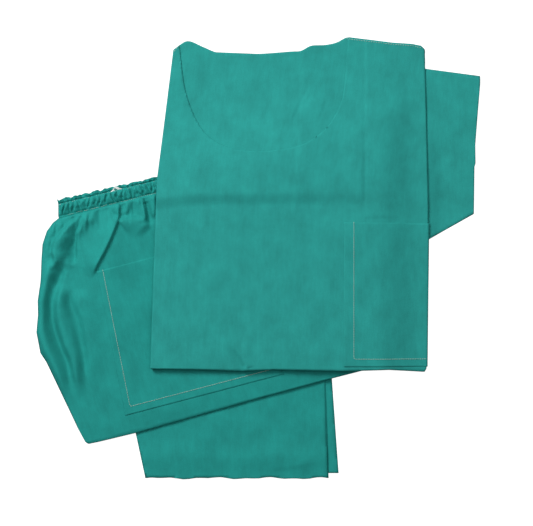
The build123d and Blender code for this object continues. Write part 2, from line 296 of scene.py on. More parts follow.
def cloth_object(name, places, faces, flat, material):
    """A mesh of cloth whose own map is its flat pattern, in metres."""
    mesh = bpy.data.meshes.new(name)
    mesh.from_pydata([tuple(map(float, p)) for p in places], [], faces)
    pattern = mesh.uv_layers.new(name="pattern")
    corners = np.zeros(len(mesh.loops), np.int32)
    mesh.loops.foreach_get("vertex_index", corners)
    pattern.data.foreach_set("uv", np.asarray(flat, np.float32)[corners].ravel())
    mesh.validate()
    mesh.polygons.foreach_set("use_smooth", [True] * len(mesh.polygons))
    mesh.materials.append(material)
    piece = bpy.data.objects.new(name, mesh)
    bpy.context.scene.collection.objects.link(piece)
    return piece


def thicken(piece, thickness, offset=-1.0, joined=None):
    """Gives a sheet its thickness as a plain mesh. Joined says which places meet another piece and stay unrounded."""
    solid = piece.modifiers.new("thickness", "SOLIDIFY")
    solid.thickness = thickness
    solid.offset = offset
    solid.use_rim = True
    faces = len(piece.data.polygons)
    settle(piece)
    if joined:
        mesh = piece.data
        keys = {tuple(sorted(edge.vertices)): edge.index for edge in mesh.edges}
        rim = {keys[tuple(sorted(key))] for face in mesh.polygons[2 * faces:] for key in face.edge_keys}
        for index in rim:
            edge = mesh.edges[index]
            edge.use_edge_sharp = all(joined(mesh.vertices[v].co) for v in edge.vertices)
    return piece


def on_tunic_fold(place):
    return abs(place.y - FOLD_LINE) < 0.01 * MM


def on_trouser_fold(place):
    return abs(trouser_uv(place.x, place.y)[1] - HIP_LENGTH) < 0.01 * MM


def settle(piece):
    """Turns a piece's modifiers into its plain mesh."""
    bpy.context.view_layer.update()
    depsgraph = bpy.context.evaluated_depsgraph_get()
    mesh = bpy.data.meshes.new_from_object(piece.evaluated_get(depsgraph), depsgraph=depsgraph)
    piece.modifiers.clear()
    piece.data = mesh
    mesh.name = piece.name


def finish_piece(piece, body, nodes=()):
    """Ties a finished piece to its body and hides the frame's nodes it stands for."""
    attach(piece, body)
    if nodes:
        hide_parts(*nodes)


# ---- the ground under the tunic, and the trousers' frame ----

def trouser_place(u, v):
    """Points of the trousers' frame, u along the waist and v down the legs, in the suit's frame."""
    return WAIST + np.asarray(u)[..., None] * ALONG + np.asarray(v)[..., None] * DOWN


def trouser_uv(x, y):
    away = np.stack([x, y], -1) - WAIST
    return away @ ALONG, away @ DOWN


def hip_ground(v):
    """What the hips lie on: the table at the waist, then the folded legs."""
    return (LEG_STACK + 0.3 * MM) * smooth((v - 20 * MM) / (38 * MM))


def tunic_ground(x, y):
    """What the tunic lies on: the trousers, down to the table past their waist and right side."""
    _, v = trouser_uv(x, y)
    hip_right = top_of("trouser_front_panel").x
    waist = TUNIC_BASE * smooth((v + 92 * MM) / (160 * MM))
    side = TUNIC_BASE * smooth((hip_right + 54 * MM - x) / (56 * MM))
    return waist * side / TUNIC_BASE


# ---- settings ----

class SuitSizes(bpy.types.PropertyGroup):
    cloth: FloatProperty(name="Cloth thickness", description="Thickness of one sheet", default=0.35 * MM, unit="LENGTH")
    stitch: FloatProperty(name="Stitch length", description="Length of one stitch", default=3.1 * MM, unit="LENGTH")
    thread: FloatProperty(name="Thread", description="Thickness of the thread", default=0.75 * MM, unit="LENGTH")
    net: FloatProperty(name="Net", description="Spacing of the cloth's mesh", default=2.0 * MM, unit="LENGTH")
    fold: FloatProperty(name="Fold radius", description="Radius of a side fold", default=2.0 * MM, unit="LENGTH")
    pucker: IntProperty(name="Pucker seed", description="Draws the waist's puckers", default=7, min=0)
    view_height: FloatProperty(name="Camera height", description="Camera above the table", default=3.2, unit="LENGTH")
    view_width: FloatProperty(name="View width", description="Width the camera sees", default=0.693, unit="LENGTH")


class SuitColours(bpy.types.PropertyGroup):
    tunic: FloatVectorProperty(
        name="Tunic cloth", description="Linear colour of the tunic", subtype="COLOR", size=3,
        default=(0.022, 0.290, 0.262), min=0, max=1)
    trousers: FloatVectorProperty(
        name="Trouser cloth", description="Linear colour of the trousers", subtype="COLOR", size=3,
        default=(0.016, 0.274, 0.245), min=0, max=1)
    thread: FloatVectorProperty(
        name="Thread", description="Linear colour of the stitching", subtype="COLOR", size=3,
        default=(0.34, 0.55, 0.47), min=0, max=1)
    elastic: FloatVectorProperty(
        name="Elastic", description="Linear colour of the elastic", subtype="COLOR", size=3,
        default=(0.78, 0.80, 0.78), min=0, max=1)


def sizes():
    return bpy.context.scene.suit_sizes


def colours():
    return bpy.context.scene.suit_colours


# ---- materials ----

def new_group(name, inputs, outputs):
    tree = bpy.data.node_groups.new(name, "ShaderNodeTree")
    for label, kind, value in inputs:
        socket = tree.interface.new_socket(label, in_out="INPUT", socket_type=kind)
        socket.default_value = value
    for label, kind in outputs:
        tree.interface.new_socket(label, in_out="OUTPUT", socket_type=kind)
    return tree


def add(tree, kind, **settings):
    """A node with its settings."""
    node = tree.nodes.new(kind)
    for key, value in settings.items():
        setattr(node, key, value)
    return node


def maths(tree, operation, *values):
    node = add(tree, "ShaderNodeMath", operation=operation)
    for socket, value in zip(node.inputs, values):
        if isinstance(value, (int, float)):
            socket.default_value = value
        else:
            tree.links.new(value, socket)
    return node.outputs[0]


def noise(tree, place, scale, detail=2.0, roughness=0.5, stretch=(1, 1, 1)):
    """A noise value; the stretch is applied to the place first."""
    mapping = add(tree, "ShaderNodeMapping")
    mapping.inputs["Scale"].default_value = stretch
    tree.links.new(place, mapping.inputs["Vector"])
    node = add(tree, "ShaderNodeTexNoise")
    node.inputs["Scale"].default_value = scale
    node.inputs["Detail"].default_value = detail
    node.inputs["Roughness"].default_value = roughness
    tree.links.new(mapping.outputs[0], node.inputs["Vector"])
    return node.outputs[0]


def nonwoven_group():
    """Point-bonded nonwoven: a lattice of small pressed dots, fibres that run one way, and thick and thin clouds."""
    found = bpy.data.node_groups.get("nonwoven")
    if found:
        return found
    tree = new_group(
        "nonwoven",
        [("Pattern", "NodeSocketVector", (0, 0, 0)), ("Dot pitch", "NodeSocketFloat", 1.7 * MM),
         ("Cloud", "NodeSocketFloat", 0.5), ("Fibre", "NodeSocketFloat", 0.5)],
        [("Tone", "NodeSocketFloat"), ("Height", "NodeSocketFloat"), ("Rough", "NodeSocketFloat")])
    come = tree.nodes.new("NodeGroupInput")
    leave = tree.nodes.new("NodeGroupOutput")
    place = come.outputs["Pattern"]
    split = add(tree, "ShaderNodeSeparateXYZ")
    tree.links.new(place, split.inputs[0])
    turns = maths(tree, "DIVIDE", 2 * pi, come.outputs["Dot pitch"])
    across = maths(tree, "SINE", maths(tree, "MULTIPLY", split.outputs[0], turns))
    along = maths(tree, "SINE", maths(tree, "MULTIPLY", split.outputs[1], turns))
    dots = maths(tree, "SMOOTH_MIN", maths(tree, "ABSOLUTE", across), maths(tree, "ABSOLUTE", along), 0.3)
    fibres = noise(tree, place, 420, 3, 0.65, (1.0, 0.16, 1))
    streaks = noise(tree, place, 170, 3, 0.6, (1.0, 0.14, 1))
    hills = noise(tree, place, 40, 4, 0.6, (1.0, 0.8, 1))
    grain = noise(tree, place, 900, 2, 0.6)
    centred = [maths(tree, "SUBTRACT", part, 0.5) for part in (hills, streaks, fibres, grain)]
    cloudy = maths(tree, "MULTIPLY", centred[0], come.outputs["Cloud"])
    stringy = maths(tree, "MULTIPLY", maths(tree, "ADD", centred[1], centred[2]), come.outputs["Fibre"])
    tone = maths(tree, "ADD", maths(tree, "ADD", cloudy, stringy), maths(tree, "MULTIPLY", centred[3], 0.35))
    pressed = maths(tree, "MULTIPLY", maths(tree, "SUBTRACT", dots, 0.5), 0.10)
    tree.links.new(maths(tree, "ADD", tone, pressed), leave.inputs["Tone"])
    height = maths(tree, "ADD", maths(tree, "MULTIPLY", dots, 0.6), maths(tree, "MULTIPLY", fibres, 0.5))
    tree.links.new(height, leave.inputs["Height"])
    tree.links.new(maths(tree, "ADD", 0.72, maths(tree, "MULTIPLY", hills, 0.16)), leave.inputs["Rough"])
    return tree


def cloth_material(name, colour, cloud=0.54, fibre=0.17):
    """Matte teal nonwoven on the piece's own pattern map."""
    material = bpy.data.materials.new(name)
    material.use_nodes = True
    tree = material.node_tree
    shader = tree.nodes["Principled BSDF"]
    shader.inputs["Specular IOR Level"].default_value = 0.08
    own_map = add(tree, "ShaderNodeUVMap", uv_map="pattern")
    group = add(tree, "ShaderNodeGroup", node_tree=nonwoven_group())
    group.inputs["Cloud"].default_value = cloud
    group.inputs["Fibre"].default_value = fibre
    tree.links.new(own_map.outputs[0], group.inputs["Pattern"])
    shade = maths(tree, "ADD", 1.0, group.outputs["Tone"])
    mix = add(tree, "ShaderNodeMix", data_type="RGBA", blend_type="MULTIPLY")
    mix.inputs["Factor"].default_value = 1.0
    mix.inputs["A"].default_value = (*colour, 1)
    grey = add(tree, "ShaderNodeCombineColor")
    for socket in grey.inputs[:3]:
        tree.links.new(shade, socket)
    tree.links.new(grey.outputs[0], mix.inputs["B"])
    tree.links.new(mix.outputs["Result"], shader.inputs["Base Color"])
    tree.links.new(group.outputs["Rough"], shader.inputs["Roughness"])
    bump = add(tree, "ShaderNodeBump")
    bump.inputs["Strength"].default_value = 0.35
    bump.inputs["Distance"].default_value = 0.15 * MM
    tree.links.new(group.outputs["Height"], bump.inputs["Height"])
    tree.links.new(bump.outputs[0], shader.inputs["Normal"])
    return material


def thread_material(name, colour, rough):
    """Spun thread or braid with a fine twist."""
    material = bpy.data.materials.new(name)
    material.use_nodes = True
    tree = material.node_tree
    shader = tree.nodes["Principled BSDF"]
    shader.inputs["Roughness"].default_value = rough
    place = add(tree, "ShaderNodeTexCoord").outputs["Object"]
    twist = noise(tree, place, 1600, 2, 0.5)
    ramp = add(tree, "ShaderNodeMix", data_type="RGBA")
    ramp.inputs["A"].default_value = (*[c * 0.8 for c in colour], 1)
    ramp.inputs["B"].default_value = (*colour, 1)
    tree.links.new(twist, ramp.inputs["Factor"])
    tree.links.new(ramp.outputs["Result"], shader.inputs["Base Color"])
    bump = add(tree, "ShaderNodeBump")
    bump.inputs["Strength"].default_value = 0.3
    bump.inputs["Distance"].default_value = 0.1 * MM
    tree.links.new(twist, bump.inputs["Height"])
    tree.links.new(bump.outputs[0], shader.inputs["Normal"])
    return material


MADE = {}


def material(slot):
    """The material of a slot, made when first asked for."""
    if slot not in MADE:
        if slot == "tunic_cloth":
            MADE[slot] = cloth_material("tunic nonwoven", colours().tunic)
        elif slot == "trouser_cloth":
            MADE[slot] = cloth_material("trouser nonwoven", colours().trousers)
        elif slot == "thread":
            MADE[slot] = thread_material("spun thread", colours().thread, 0.6)
        else:
            MADE[slot] = thread_material("braided elastic", colours().elastic, 0.8)
    return MADE[slot]


# ---- stitches ----

def stitch_tree():
    """A row of short rounded stitches along a line, as geometry nodes."""
    found = bpy.data.node_groups.get("stitch_row")
    if found:
        return found
    tree = bpy.data.node_groups.new("stitch_row", "GeometryNodeTree")
    tree.interface.new_socket("Line", in_out="INPUT", socket_type="NodeSocketGeometry")
    for label, value in (("Pitch", 3 * MM), ("Stitch", 2.4 * MM), ("Thread", 0.5 * MM)):
        socket = tree.interface.new_socket(label, in_out="INPUT", socket_type="NodeSocketFloat")
        socket.default_value = value
    tree.interface.new_socket("Material", in_out="INPUT", socket_type="NodeSocketMaterial")
    tree.interface.new_socket("Stitches", in_out="OUTPUT", socket_type="NodeSocketGeometry")
    come = tree.nodes.new("NodeGroupInput")
    leave = tree.nodes.new("NodeGroupOutput")
    to_curve = add(tree, "GeometryNodeMeshToCurve")
    spread = add(tree, "GeometryNodeResampleCurve", mode="LENGTH")
    tangent = add(tree, "GeometryNodeInputTangent")
    turn = add(tree, "FunctionNodeAlignEulerToVector", axis="X")
    one = add(tree, "GeometryNodeCurvePrimitiveBezierSegment", mode="POSITION")
    one.inputs["Resolution"].default_value = 5
    half = maths(tree, "MULTIPLY", come.outputs["Stitch"], 0.5)
    rise = maths(tree, "MULTIPLY", come.outputs["Thread"], 0.7)
    sink = maths(tree, "MULTIPLY", come.outputs["Thread"], -0.6)
    back = maths(tree, "MULTIPLY", half, -1.0)
    for label, x, z in (("Start", back, sink), ("Start Handle", maths(tree, "MULTIPLY", half, -0.7), rise),
                        ("End Handle", maths(tree, "MULTIPLY", half, 0.7), rise), ("End", half, sink)):
        spot = add(tree, "ShaderNodeCombineXYZ")
        tree.links.new(x, spot.inputs[0])
        tree.links.new(z, spot.inputs[2])
        tree.links.new(spot.outputs[0], one.inputs[label])
    ring = add(tree, "GeometryNodeCurvePrimitiveCircle")
    ring.inputs["Resolution"].default_value = 6
    tree.links.new(maths(tree, "MULTIPLY", come.outputs["Thread"], 0.5), ring.inputs["Radius"])
    tube = add(tree, "GeometryNodeCurveToMesh")
    tube.inputs["Fill Caps"].default_value = True
    place = add(tree, "GeometryNodeInstanceOnPoints")
    real = add(tree, "GeometryNodeRealizeInstances")
    paint = add(tree, "GeometryNodeSetMaterial")
    for a, b in ((come.outputs["Line"], to_curve.inputs[0]), (to_curve.outputs[0], spread.inputs["Curve"]),
                 (come.outputs["Pitch"], spread.inputs["Length"]), (spread.outputs[0], place.inputs["Points"]),
                 (tangent.outputs[0], turn.inputs["Vector"]), (turn.outputs[0], place.inputs["Rotation"]),
                 (one.outputs[0], tube.inputs["Curve"]), (ring.outputs[0], tube.inputs["Profile Curve"]),
                 (tube.outputs[0], place.inputs["Instance"]), (place.outputs[0], real.inputs[0]),
                 (real.outputs[0], paint.inputs["Geometry"]), (come.outputs["Material"], paint.inputs["Material"]),
                 (paint.outputs[0], leave.inputs[0])):
        tree.links.new(a, b)
    return tree


def stitch_row(name, route, body, node, pitch=None, stitch=None, thread=None):
    """Stitches along a route of points, standing for one row of the frame."""
    mesh = bpy.data.meshes.new(name)
    mesh.from_pydata([tuple(map(float, p)) for p in route], [(i, i + 1) for i in range(len(route) - 1)], [])
    piece = bpy.data.objects.new(name, mesh)
    bpy.context.scene.collection.objects.link(piece)
    row = piece.modifiers.new("stitches", "NODES")
    row.node_group = stitch_tree()
    pitch = pitch or sizes().stitch
    values = {"Pitch": pitch, "Stitch": stitch or pitch * 0.74, "Thread": thread or sizes().thread,
              "Material": material("thread")}
    for socket in row.node_group.interface.items_tree:
        if socket.item_type == "SOCKET" and socket.in_out == "INPUT" and socket.name in values:
            row[socket.identifier] = values[socket.name]
    settle(piece)
    piece.data.polygons.foreach_set("use_smooth", [True] * len(piece.data.polygons))
    finish_piece(piece, body, [node])
    return piece


# ---- the tunic ----

def left_fold(y):
    """Where the tunic's left fold stands at a height up the tunic."""
    up = y - FOLD_LINE
    return LEFT + (8.4 * MM) * np.clip(up / (241 * MM), 0, None) + (
        15.0 * MM) * np.clip((up - 241 * MM) / (171 * MM), 0, None)


def right_fold(y):
    up = y - FOLD_LINE
    return RIGHT + np.interp(up, [-5 * MM, 0, 90 * MM, 205 * MM, 303 * MM, 400 * MM],
                             [-1 * MM, 0, 1 * MM, 2.4 * MM, 0.4 * MM, -1.8 * MM])


# The necklines, in millimetres from the middle of the neck and down from the shoulder's highest point
FRONT_NECK = [(-108, -11), (-100, -70), (-81, -116), (-52, -140), (-10, -148), (45, -142), (81, -119.5),
              (101, -86), (107, -50), (110.5, -1)]
BACK_NECK = [(-107.5, -10), (-100, -5.5), (-91.5, -6), (-75, -13.5), (-54, -20.5), (-8, -21.5), (36, -18.5),
             (50, -17.5), (63, -11), (81, -10), (95.5, -7), (108, -0.5)]
SHOULDER_END = [(112.5, 0), (168, -7), (194, -8.6), (206, -11), (211, -16)]


def near_neck(points):
    return np.array(points) * MM + (NECK_MIDDLE, SHOULDER)


def hem_step(x, y):
    """1 over the half that is turned under, 0 past its hem."""
    edge = HEM_EDGE - 5 * MM * bell((x - LEFT) / (40 * MM)) + 1.5 * MM * np.sin(x / (55 * MM))
    return smooth((edge + 150 * MM - y) / (160 * MM))


def upper_ground(x, y):
    """What the tunic's upper half lies on."""
    lower = TUBE * 2 + 0.3 * MM
    return tunic_ground(x, y) + lower * hem_step(x, y) + 0.3 * MM


def tunic_relief(x, y):
    """Soft creases and the edges of the layers underneath, as they show on the tunic's upper half."""
    up, over = y - FOLD_LINE, x - LEFT
    points = np.stack([x, y], -1)
    above_hem = smooth((up - 192 * MM) / (5 * MM))
    relief = 0.9 * MM * smooth((x - RIGHT_ARMHOLE + 0.5 * MM) / (2.2 * MM)) * above_hem
    relief -= 0.9 * MM * smooth((x - RIGHT_ARMHOLE - 2 * MM) / (60 * MM)) * above_hem
    edge = LEFT_ARMHOLE + 10 * MM + 6 * MM * smooth((up - 250 * MM) / (140 * MM))
    relief += (0.55 * MM * smooth((x - edge) / (5 * MM)) * (1 - smooth((x - edge) / (45 * MM)))
               * smooth((up - 235 * MM) / (25 * MM)))
    crest = HEM_EDGE - 3 * MM - 7 * MM * bell((x - LEFT) / (40 * MM))
    step = smooth((y - crest + 18 * MM) / (18 * MM)) * (1 - smooth((y - crest + 4 * MM) / (190 * MM)))
    relief += (4.2 * MM * (1 - 0.55 * smooth((x - 20 * MM) / (100 * MM))) * step
               * smooth((RIGHT_ARMHOLE + 2 * MM - x) / (8 * MM)))
    relief += 0.7 * MM * clouds(x, y, 62 * MM, 3) + 0.35 * MM * clouds(x, y, 27 * MM, 5)
    nick = (NECK_MIDDLE - 25 * MM, FOLD_LINE)
    relief -= pleat(points, [nick, (nick[0] - 9 * MM, nick[1] + 15 * MM), (nick[0] - 22 * MM, nick[1] + 34 * MM)],
                    11 * MM, 4 * MM, 2.6 * MM, (0.0, 0.6))
    relief += pleat(points, [(nick[0] + 6 * MM, nick[1]), (nick[0] + 2 * MM, nick[1] + 18 * MM),
                             (nick[0] + 12 * MM, nick[1] + 60 * MM)], 8 * MM, 12 * MM, 1.4 * MM, (0.0, 0.6))
    relief += 0.5 * MM * bell((over - 24 * MM) / (7 * MM)) * bell((up - 110 * MM) / (70 * MM))
    relief -= 0.5 * MM * bell((over - 12 * MM) / (6 * MM)) * bell((up - 90 * MM) / (60 * MM))
    return relief


def upper_top(x, y):
    """Top of the tunic's upper half, without its pocket."""
    return upper_ground(x, y) + 3 * TUBE + tunic_relief(x, y) - 0.1 * MM


def wrap(flat_x, y, inset, radius, bottom, top):
    """Folds a sheet's sides under: flat_x is 0 at the left fold, and the width between the folds is kept.
    bottom and top give the heights of the two layers at (x, y)."""
    left = left_fold(y) + inset
    right = right_fold(y) - inset
    quarter = pi * radius / 2
    width = right - left
    flat_width = width + 2 * (quarter - radius)
    near, far = flat_x, flat_width - flat_x
    x = left + flat_x - (quarter - radius)
    level = np.ones_like(x)
    for distance, edge, sign in ((near, left, 1), (far, right, -1)):
        on_fold = np.abs(distance) <= quarter
        under = distance < -quarter
        x = np.where(on_fold, edge + sign * radius * (1 - np.cos(distance / radius)), x)
        level = np.where(on_fold, np.sin(distance / radius), level)
        x = np.where(under, edge + sign * (radius - distance - quarter), x)
        level = np.where(under, -1, level)
    low, high = bottom(x, y), top(x, y)
    return np.stack([x, y, (low + high) / 2 + (high - low) / 2 * level], -1)


FLAP_NET = 9 * MM  # the hidden flaps take a wide mesh
EDGE_NET = 0.9 * MM  # and the cloth that drops past the trousers' side a fine one
TUNIC_WIDTH = RIGHT - LEFT
FLAP_LEFT, FLAP_RIGHT = LEFT - LEFT_ARMHOLE, RIGHT - RIGHT_ARMHOLE


def fold_span(radius):
    """The stretch of a flat pattern that goes round its left fold."""
    return -1.6 * radius, 2.2 * radius


def panel_sheet(name, neck_points, inset, radius, bottom, top, thickness, net):
    """One panel of the tunic's upper half, cut flat with its neckline and folded at both sides."""
    shift = pi * radius / 2 - radius
    def to_flat(points):
        points = np.array(points, float)
        points[:, 0] -= left_fold(points[:, 1]) + inset - shift
        return points
    neck = to_flat(curve_through(near_neck(neck_points), 6))
    shoulder = to_flat(near_neck(SHOULDER_END))
    left_end = to_flat(near_neck([(-115.5, -16)]))[0]
    right_corner = to_flat([(RIGHT - inset, SHOULDER - 20 * MM)])[0]
    right_foot = to_flat([(RIGHT, FOLD_LINE)])[0]
    outline = np.vstack([
        neck,
        shoulder,
        right_corner,
        (right_corner[0] + FLAP_RIGHT, right_corner[1] - 6 * MM),
        (right_foot[0] + FLAP_RIGHT + inset, FOLD_LINE),
        (FLAP_LEFT, FOLD_LINE),
        (FLAP_LEFT, left_end[1] - 8 * MM),
        (-1 * MM, left_end[1] - 1 * MM),
        left_end,
    ])
    fold = fold_span(radius)
    far = TUNIC_WIDTH + fold[0] - 22 * MM
    near_right = TUNIC_WIDTH + 12 * MM
    xs = lines((FLAP_LEFT - 2 * MM, fold[0], FLAP_NET), (*fold, radius / 5), (fold[1], far, net),
               (far, near_right, EDGE_NET), (near_right, TUNIC_WIDTH + FLAP_RIGHT + 30 * MM, FLAP_NET))
    ys = lines((FOLD_LINE, SHOULDER + 2 * MM, net))
    flat, faces = fill(outline, xs, ys)
    places = wrap(flat[:, 0], flat[:, 1], inset, radius, bottom, top)
    piece = cloth_object(name, places, faces, flat, material("tunic_cloth"))
    return thicken(piece, thickness, joined=on_tunic_fold), flat_area(flat, faces)


def flat_area(flat, faces):
    """The flat area of a cut pattern."""
    total = 0.0
    for face in faces:
        x, y = flat[face, 0], flat[face, 1]
        total += abs(x @ np.roll(y, -1) - y @ np.roll(x, -1)) / 2
    return float(total)


class SUIT_OT_tunic_upper(bpy.types.Operator):
    """The tunic's upper half: front and back panels with their sides folded under"""

    bl_idname = "suit.tunic_upper"
    bl_label = "Tunic upper half"

    def execute(self, context):
        size = sizes()
        front, area = panel_sheet("tunic_front", FRONT_NECK, 0.0, size.fold, upper_ground, upper_top,
                                  size.cloth, size.net)
        finish_piece(front, "tunic_upper", ["tunic_front_panel", "left_side_flap", "right_side_flap"])
        inner = TUBE / 2
        def back_bottom(x, y):
            return upper_ground(x, y) + inner
        def back_top(x, y):
            return upper_top(x, y) - inner - back_relief(x, y)
        back, area = panel_sheet("tunic_back", BACK_NECK, 1.1 * MM, size.fold - 0.7 * MM, back_bottom, back_top,
                                 size.cloth, size.net)
        finish_piece(back, "tunic_upper", ["tunic_back_panel"])
        return {"FINISHED"}


def back_relief(x, y):
    """The back panel sags a little inside the neck, over the layers under it."""
    points = np.stack([x, y], -1)
    neck = np.array([(NECK_MIDDLE, SHOULDER - 60 * MM)])
    deep = bell(np.linalg.norm((points - neck) / np.array([95 * MM, 75 * MM]), axis=-1))
    sag = 1.0 * MM * deep
    edge = LEFT_ARMHOLE + 8 * MM
    for (x1, y1), (x2, y2), depth in (((18, 60), (-6, 118), 0.7), ((26, 70), (4, 96), 0.5),
                                      ((-40, 62), (-26, 92), 0.35), ((44, 78), (30, 112), 0.45)):
        line = [(edge + x1 * MM, SHOULDER - y1 * MM),
                (edge + (x1 + x2) / 2 * MM + 1 * MM, SHOULDER - (y1 + y2) / 2 * MM),
                (edge + x2 * MM, SHOULDER - y2 * MM)]
        sag = sag + pleat(points, line, 5 * MM, 3 * MM, depth * MM, (0.3, 0.3))
    return sag


def fold_reach(x):
    """How far the bottom fold bulges out past its line: it isn't quite straight."""
    places = np.array([-139, -79, -20, -15, 22, 112, 170, 219]) * MM
    return float(np.interp(x, places, np.array([1.6, 2.6, 4.6, 4.4, 2.8, 4.9, 3.2, 6.2]) * MM))


class SUIT_OT_tunic_lower(bpy.types.Operator):
    """The tunic's lower half, turned under the upper half, and the fold between them"""

    bl_idname = "suit.tunic_lower"
    bl_label = "Tunic lower half and fold"

    def execute(self, context):
        size = sizes()
        for name, inset, layer, nodes in (
                ("tunic_front_lower", 0.3 * MM, 0.0, ["tunic_front_hem_half", "hem_left_flap", "hem_right_flap"]),
                ("tunic_back_lower", 1.2 * MM, 0.8 * MM, ["tunic_back_hem_half"])):
            radius = size.fold - 0.5 * MM - layer * 0.6
            end = TUNIC_WIDTH + FLAP_RIGHT
            outline = np.array([(FLAP_LEFT, FOLD_LINE), (end, FOLD_LINE), (end, HEM_EDGE), (FLAP_LEFT, HEM_EDGE)])
            fold = fold_span(radius)
            far, near_right = TUNIC_WIDTH - 16 * MM, TUNIC_WIDTH + 10 * MM
            xs = lines((FLAP_LEFT, fold[0], FLAP_NET), (*fold, radius / 4), (fold[1], far, 5 * MM),
                       (far, near_right, EDGE_NET), (near_right, end, FLAP_NET))
            ys = lines((FOLD_LINE, HEM_EDGE, 5 * MM))
            flat, faces = fill(outline, xs, ys)
            def bottom(x, y, layer=layer):
                return tunic_ground(x, y) + 0.1 * MM + layer
            def top(x, y, layer=layer):
                return tunic_ground(x, y) + 2 * TUBE - 0.2 * MM - layer
            places = wrap(flat[:, 0], flat[:, 1], inset, radius, top, bottom)
            piece = cloth_object(name, places, faces, flat, material("tunic_cloth"))
            thicken(piece, size.cloth, 1.0)
            finish_piece(piece, "tunic_lower", nodes)
        self.fold_layers(size)
        return {"FINISHED"}

    def fold_layers(self, size):
        """The turn at the bottom, one sheet inside another, from the lower half up to the upper."""
        for name, inset, smaller in (("tunic_front_turn", 0.4 * MM, 0.0), ("tunic_back_turn", 1.2 * MM, 0.9 * MM)):
            xs = np.linspace(0, 1, 170)
            places, flat = [], []
            left, right = left_fold(FOLD_LINE) + inset, right_fold(FOLD_LINE) - inset
            line = np.full_like(xs, FOLD_LINE)
            lows = tunic_ground(left + (right - left) * xs, line) + 0.1 * MM + smaller
            highs = upper_top(left + (right - left) * xs, line) - smaller
            for share, low, high in zip(xs, lows, highs):
                x = left + (right - left) * share
                corner = min(1.0, (min(share, 1 - share) * (right - left)) / (2.5 * MM))
                reach = (0.35 + 0.65 * corner ** 0.5) * (fold_reach(x) - smaller)
                for turn in TURN_ANGLES:
                    out, rise = squarish(turn, 2.8)
                    places.append((x, FOLD_LINE - reach * out, (low + high) / 2 + (high - low) / 2 * rise))
                    flat.append((x - LEFT, FOLD_LINE + (turn - pi / 2) * reach))
            faces = strip_faces(len(xs), len(TURN_ANGLES))
            piece = cloth_object(name, places, faces, flat, material("tunic_cloth"))
            thicken(piece, size.cloth, joined=on_tunic_fold)
            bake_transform(piece)
            flat_area(np.array(flat), faces)


class SUIT_OT_tunic_pocket(bpy.types.Operator):
    """The tunic's patch pocket, round its right fold, with its stitching"""

    bl_idname = "suit.tunic_pocket"
    bl_label = "Tunic pocket"

    def execute(self, context):
        size = sizes()
        low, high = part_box("tunic_pocket")
        left, foot, top = low.x, low.y, high.y
        end = RIGHT + 9 * MM
        outline = np.array([(left, foot), (end, foot), (end, top - 1.2 * MM), (left, top)])
        outline[:, 0] -= LEFT
        bend = TUNIC_WIDTH - 5 * MM
        xs = lines((left - LEFT, bend, 1.8 * MM), (bend, TUNIC_WIDTH + 9 * MM, 0.7 * MM))
        ys = lines((foot, top, 1.8 * MM))
        flat, faces = fill(outline, xs, ys)
        lift = 0.55 * MM
        def pocket_top(x, y):
            return upper_top(x, y) + lift + pocket_relief(x, y)
        def pocket_bottom(x, y):
            return upper_ground(x, y) - 0.2 * MM
        flat_x = flat[:, 0] - (left_fold(flat[:, 1]) - LEFT)
        places = wrap(flat_x, flat[:, 1], -1.2 * MM, size.fold + 0.8 * MM, pocket_bottom, pocket_top)
        piece = cloth_object("tunic_patch_pocket", places, faces, flat, material("tunic_cloth"))
        thicken(piece, size.cloth)
        finish_piece(piece, "tunic_upper", ["tunic_pocket"])
        self.stitches(left, foot, top, pocket_top)
        return {"FINISHED"}

    def stitches(self, left, foot, top, surface):
        inset, corner = 10 * MM, 3 * MM
        x, y = left + inset, foot + inset
        route = [(x, t) for t in np.linspace(top - 1 * MM, y + corner, 60)]
        route += [(x + corner * (1 - cos(a)), y + corner * (1 - sin(a))) for a in np.linspace(0, pi / 2, 6)[1:]]
        route += [(t, y) for t in np.linspace(x + corner, RIGHT - 2 * MM, 40)[1:]]
        route = np.array(route)
        heights = surface(route[:, 0], route[:, 1]) + 0.15 * MM
        stitch_row("tunic_pocket_stitch_row", np.column_stack([route, heights]), "tunic_upper", "tunic_pocket_stitches")


def pocket_relief(x, y):
    """The pocket's own waves, and its corner pressed down at the fold."""
    pressed = 0.5 * MM * bell((x - RIGHT + 6 * MM) / (20 * MM)) * bell((y - FOLD_LINE) / (50 * MM))
    return 0.25 * MM * clouds(x, y, 45 * MM, 12) - pressed


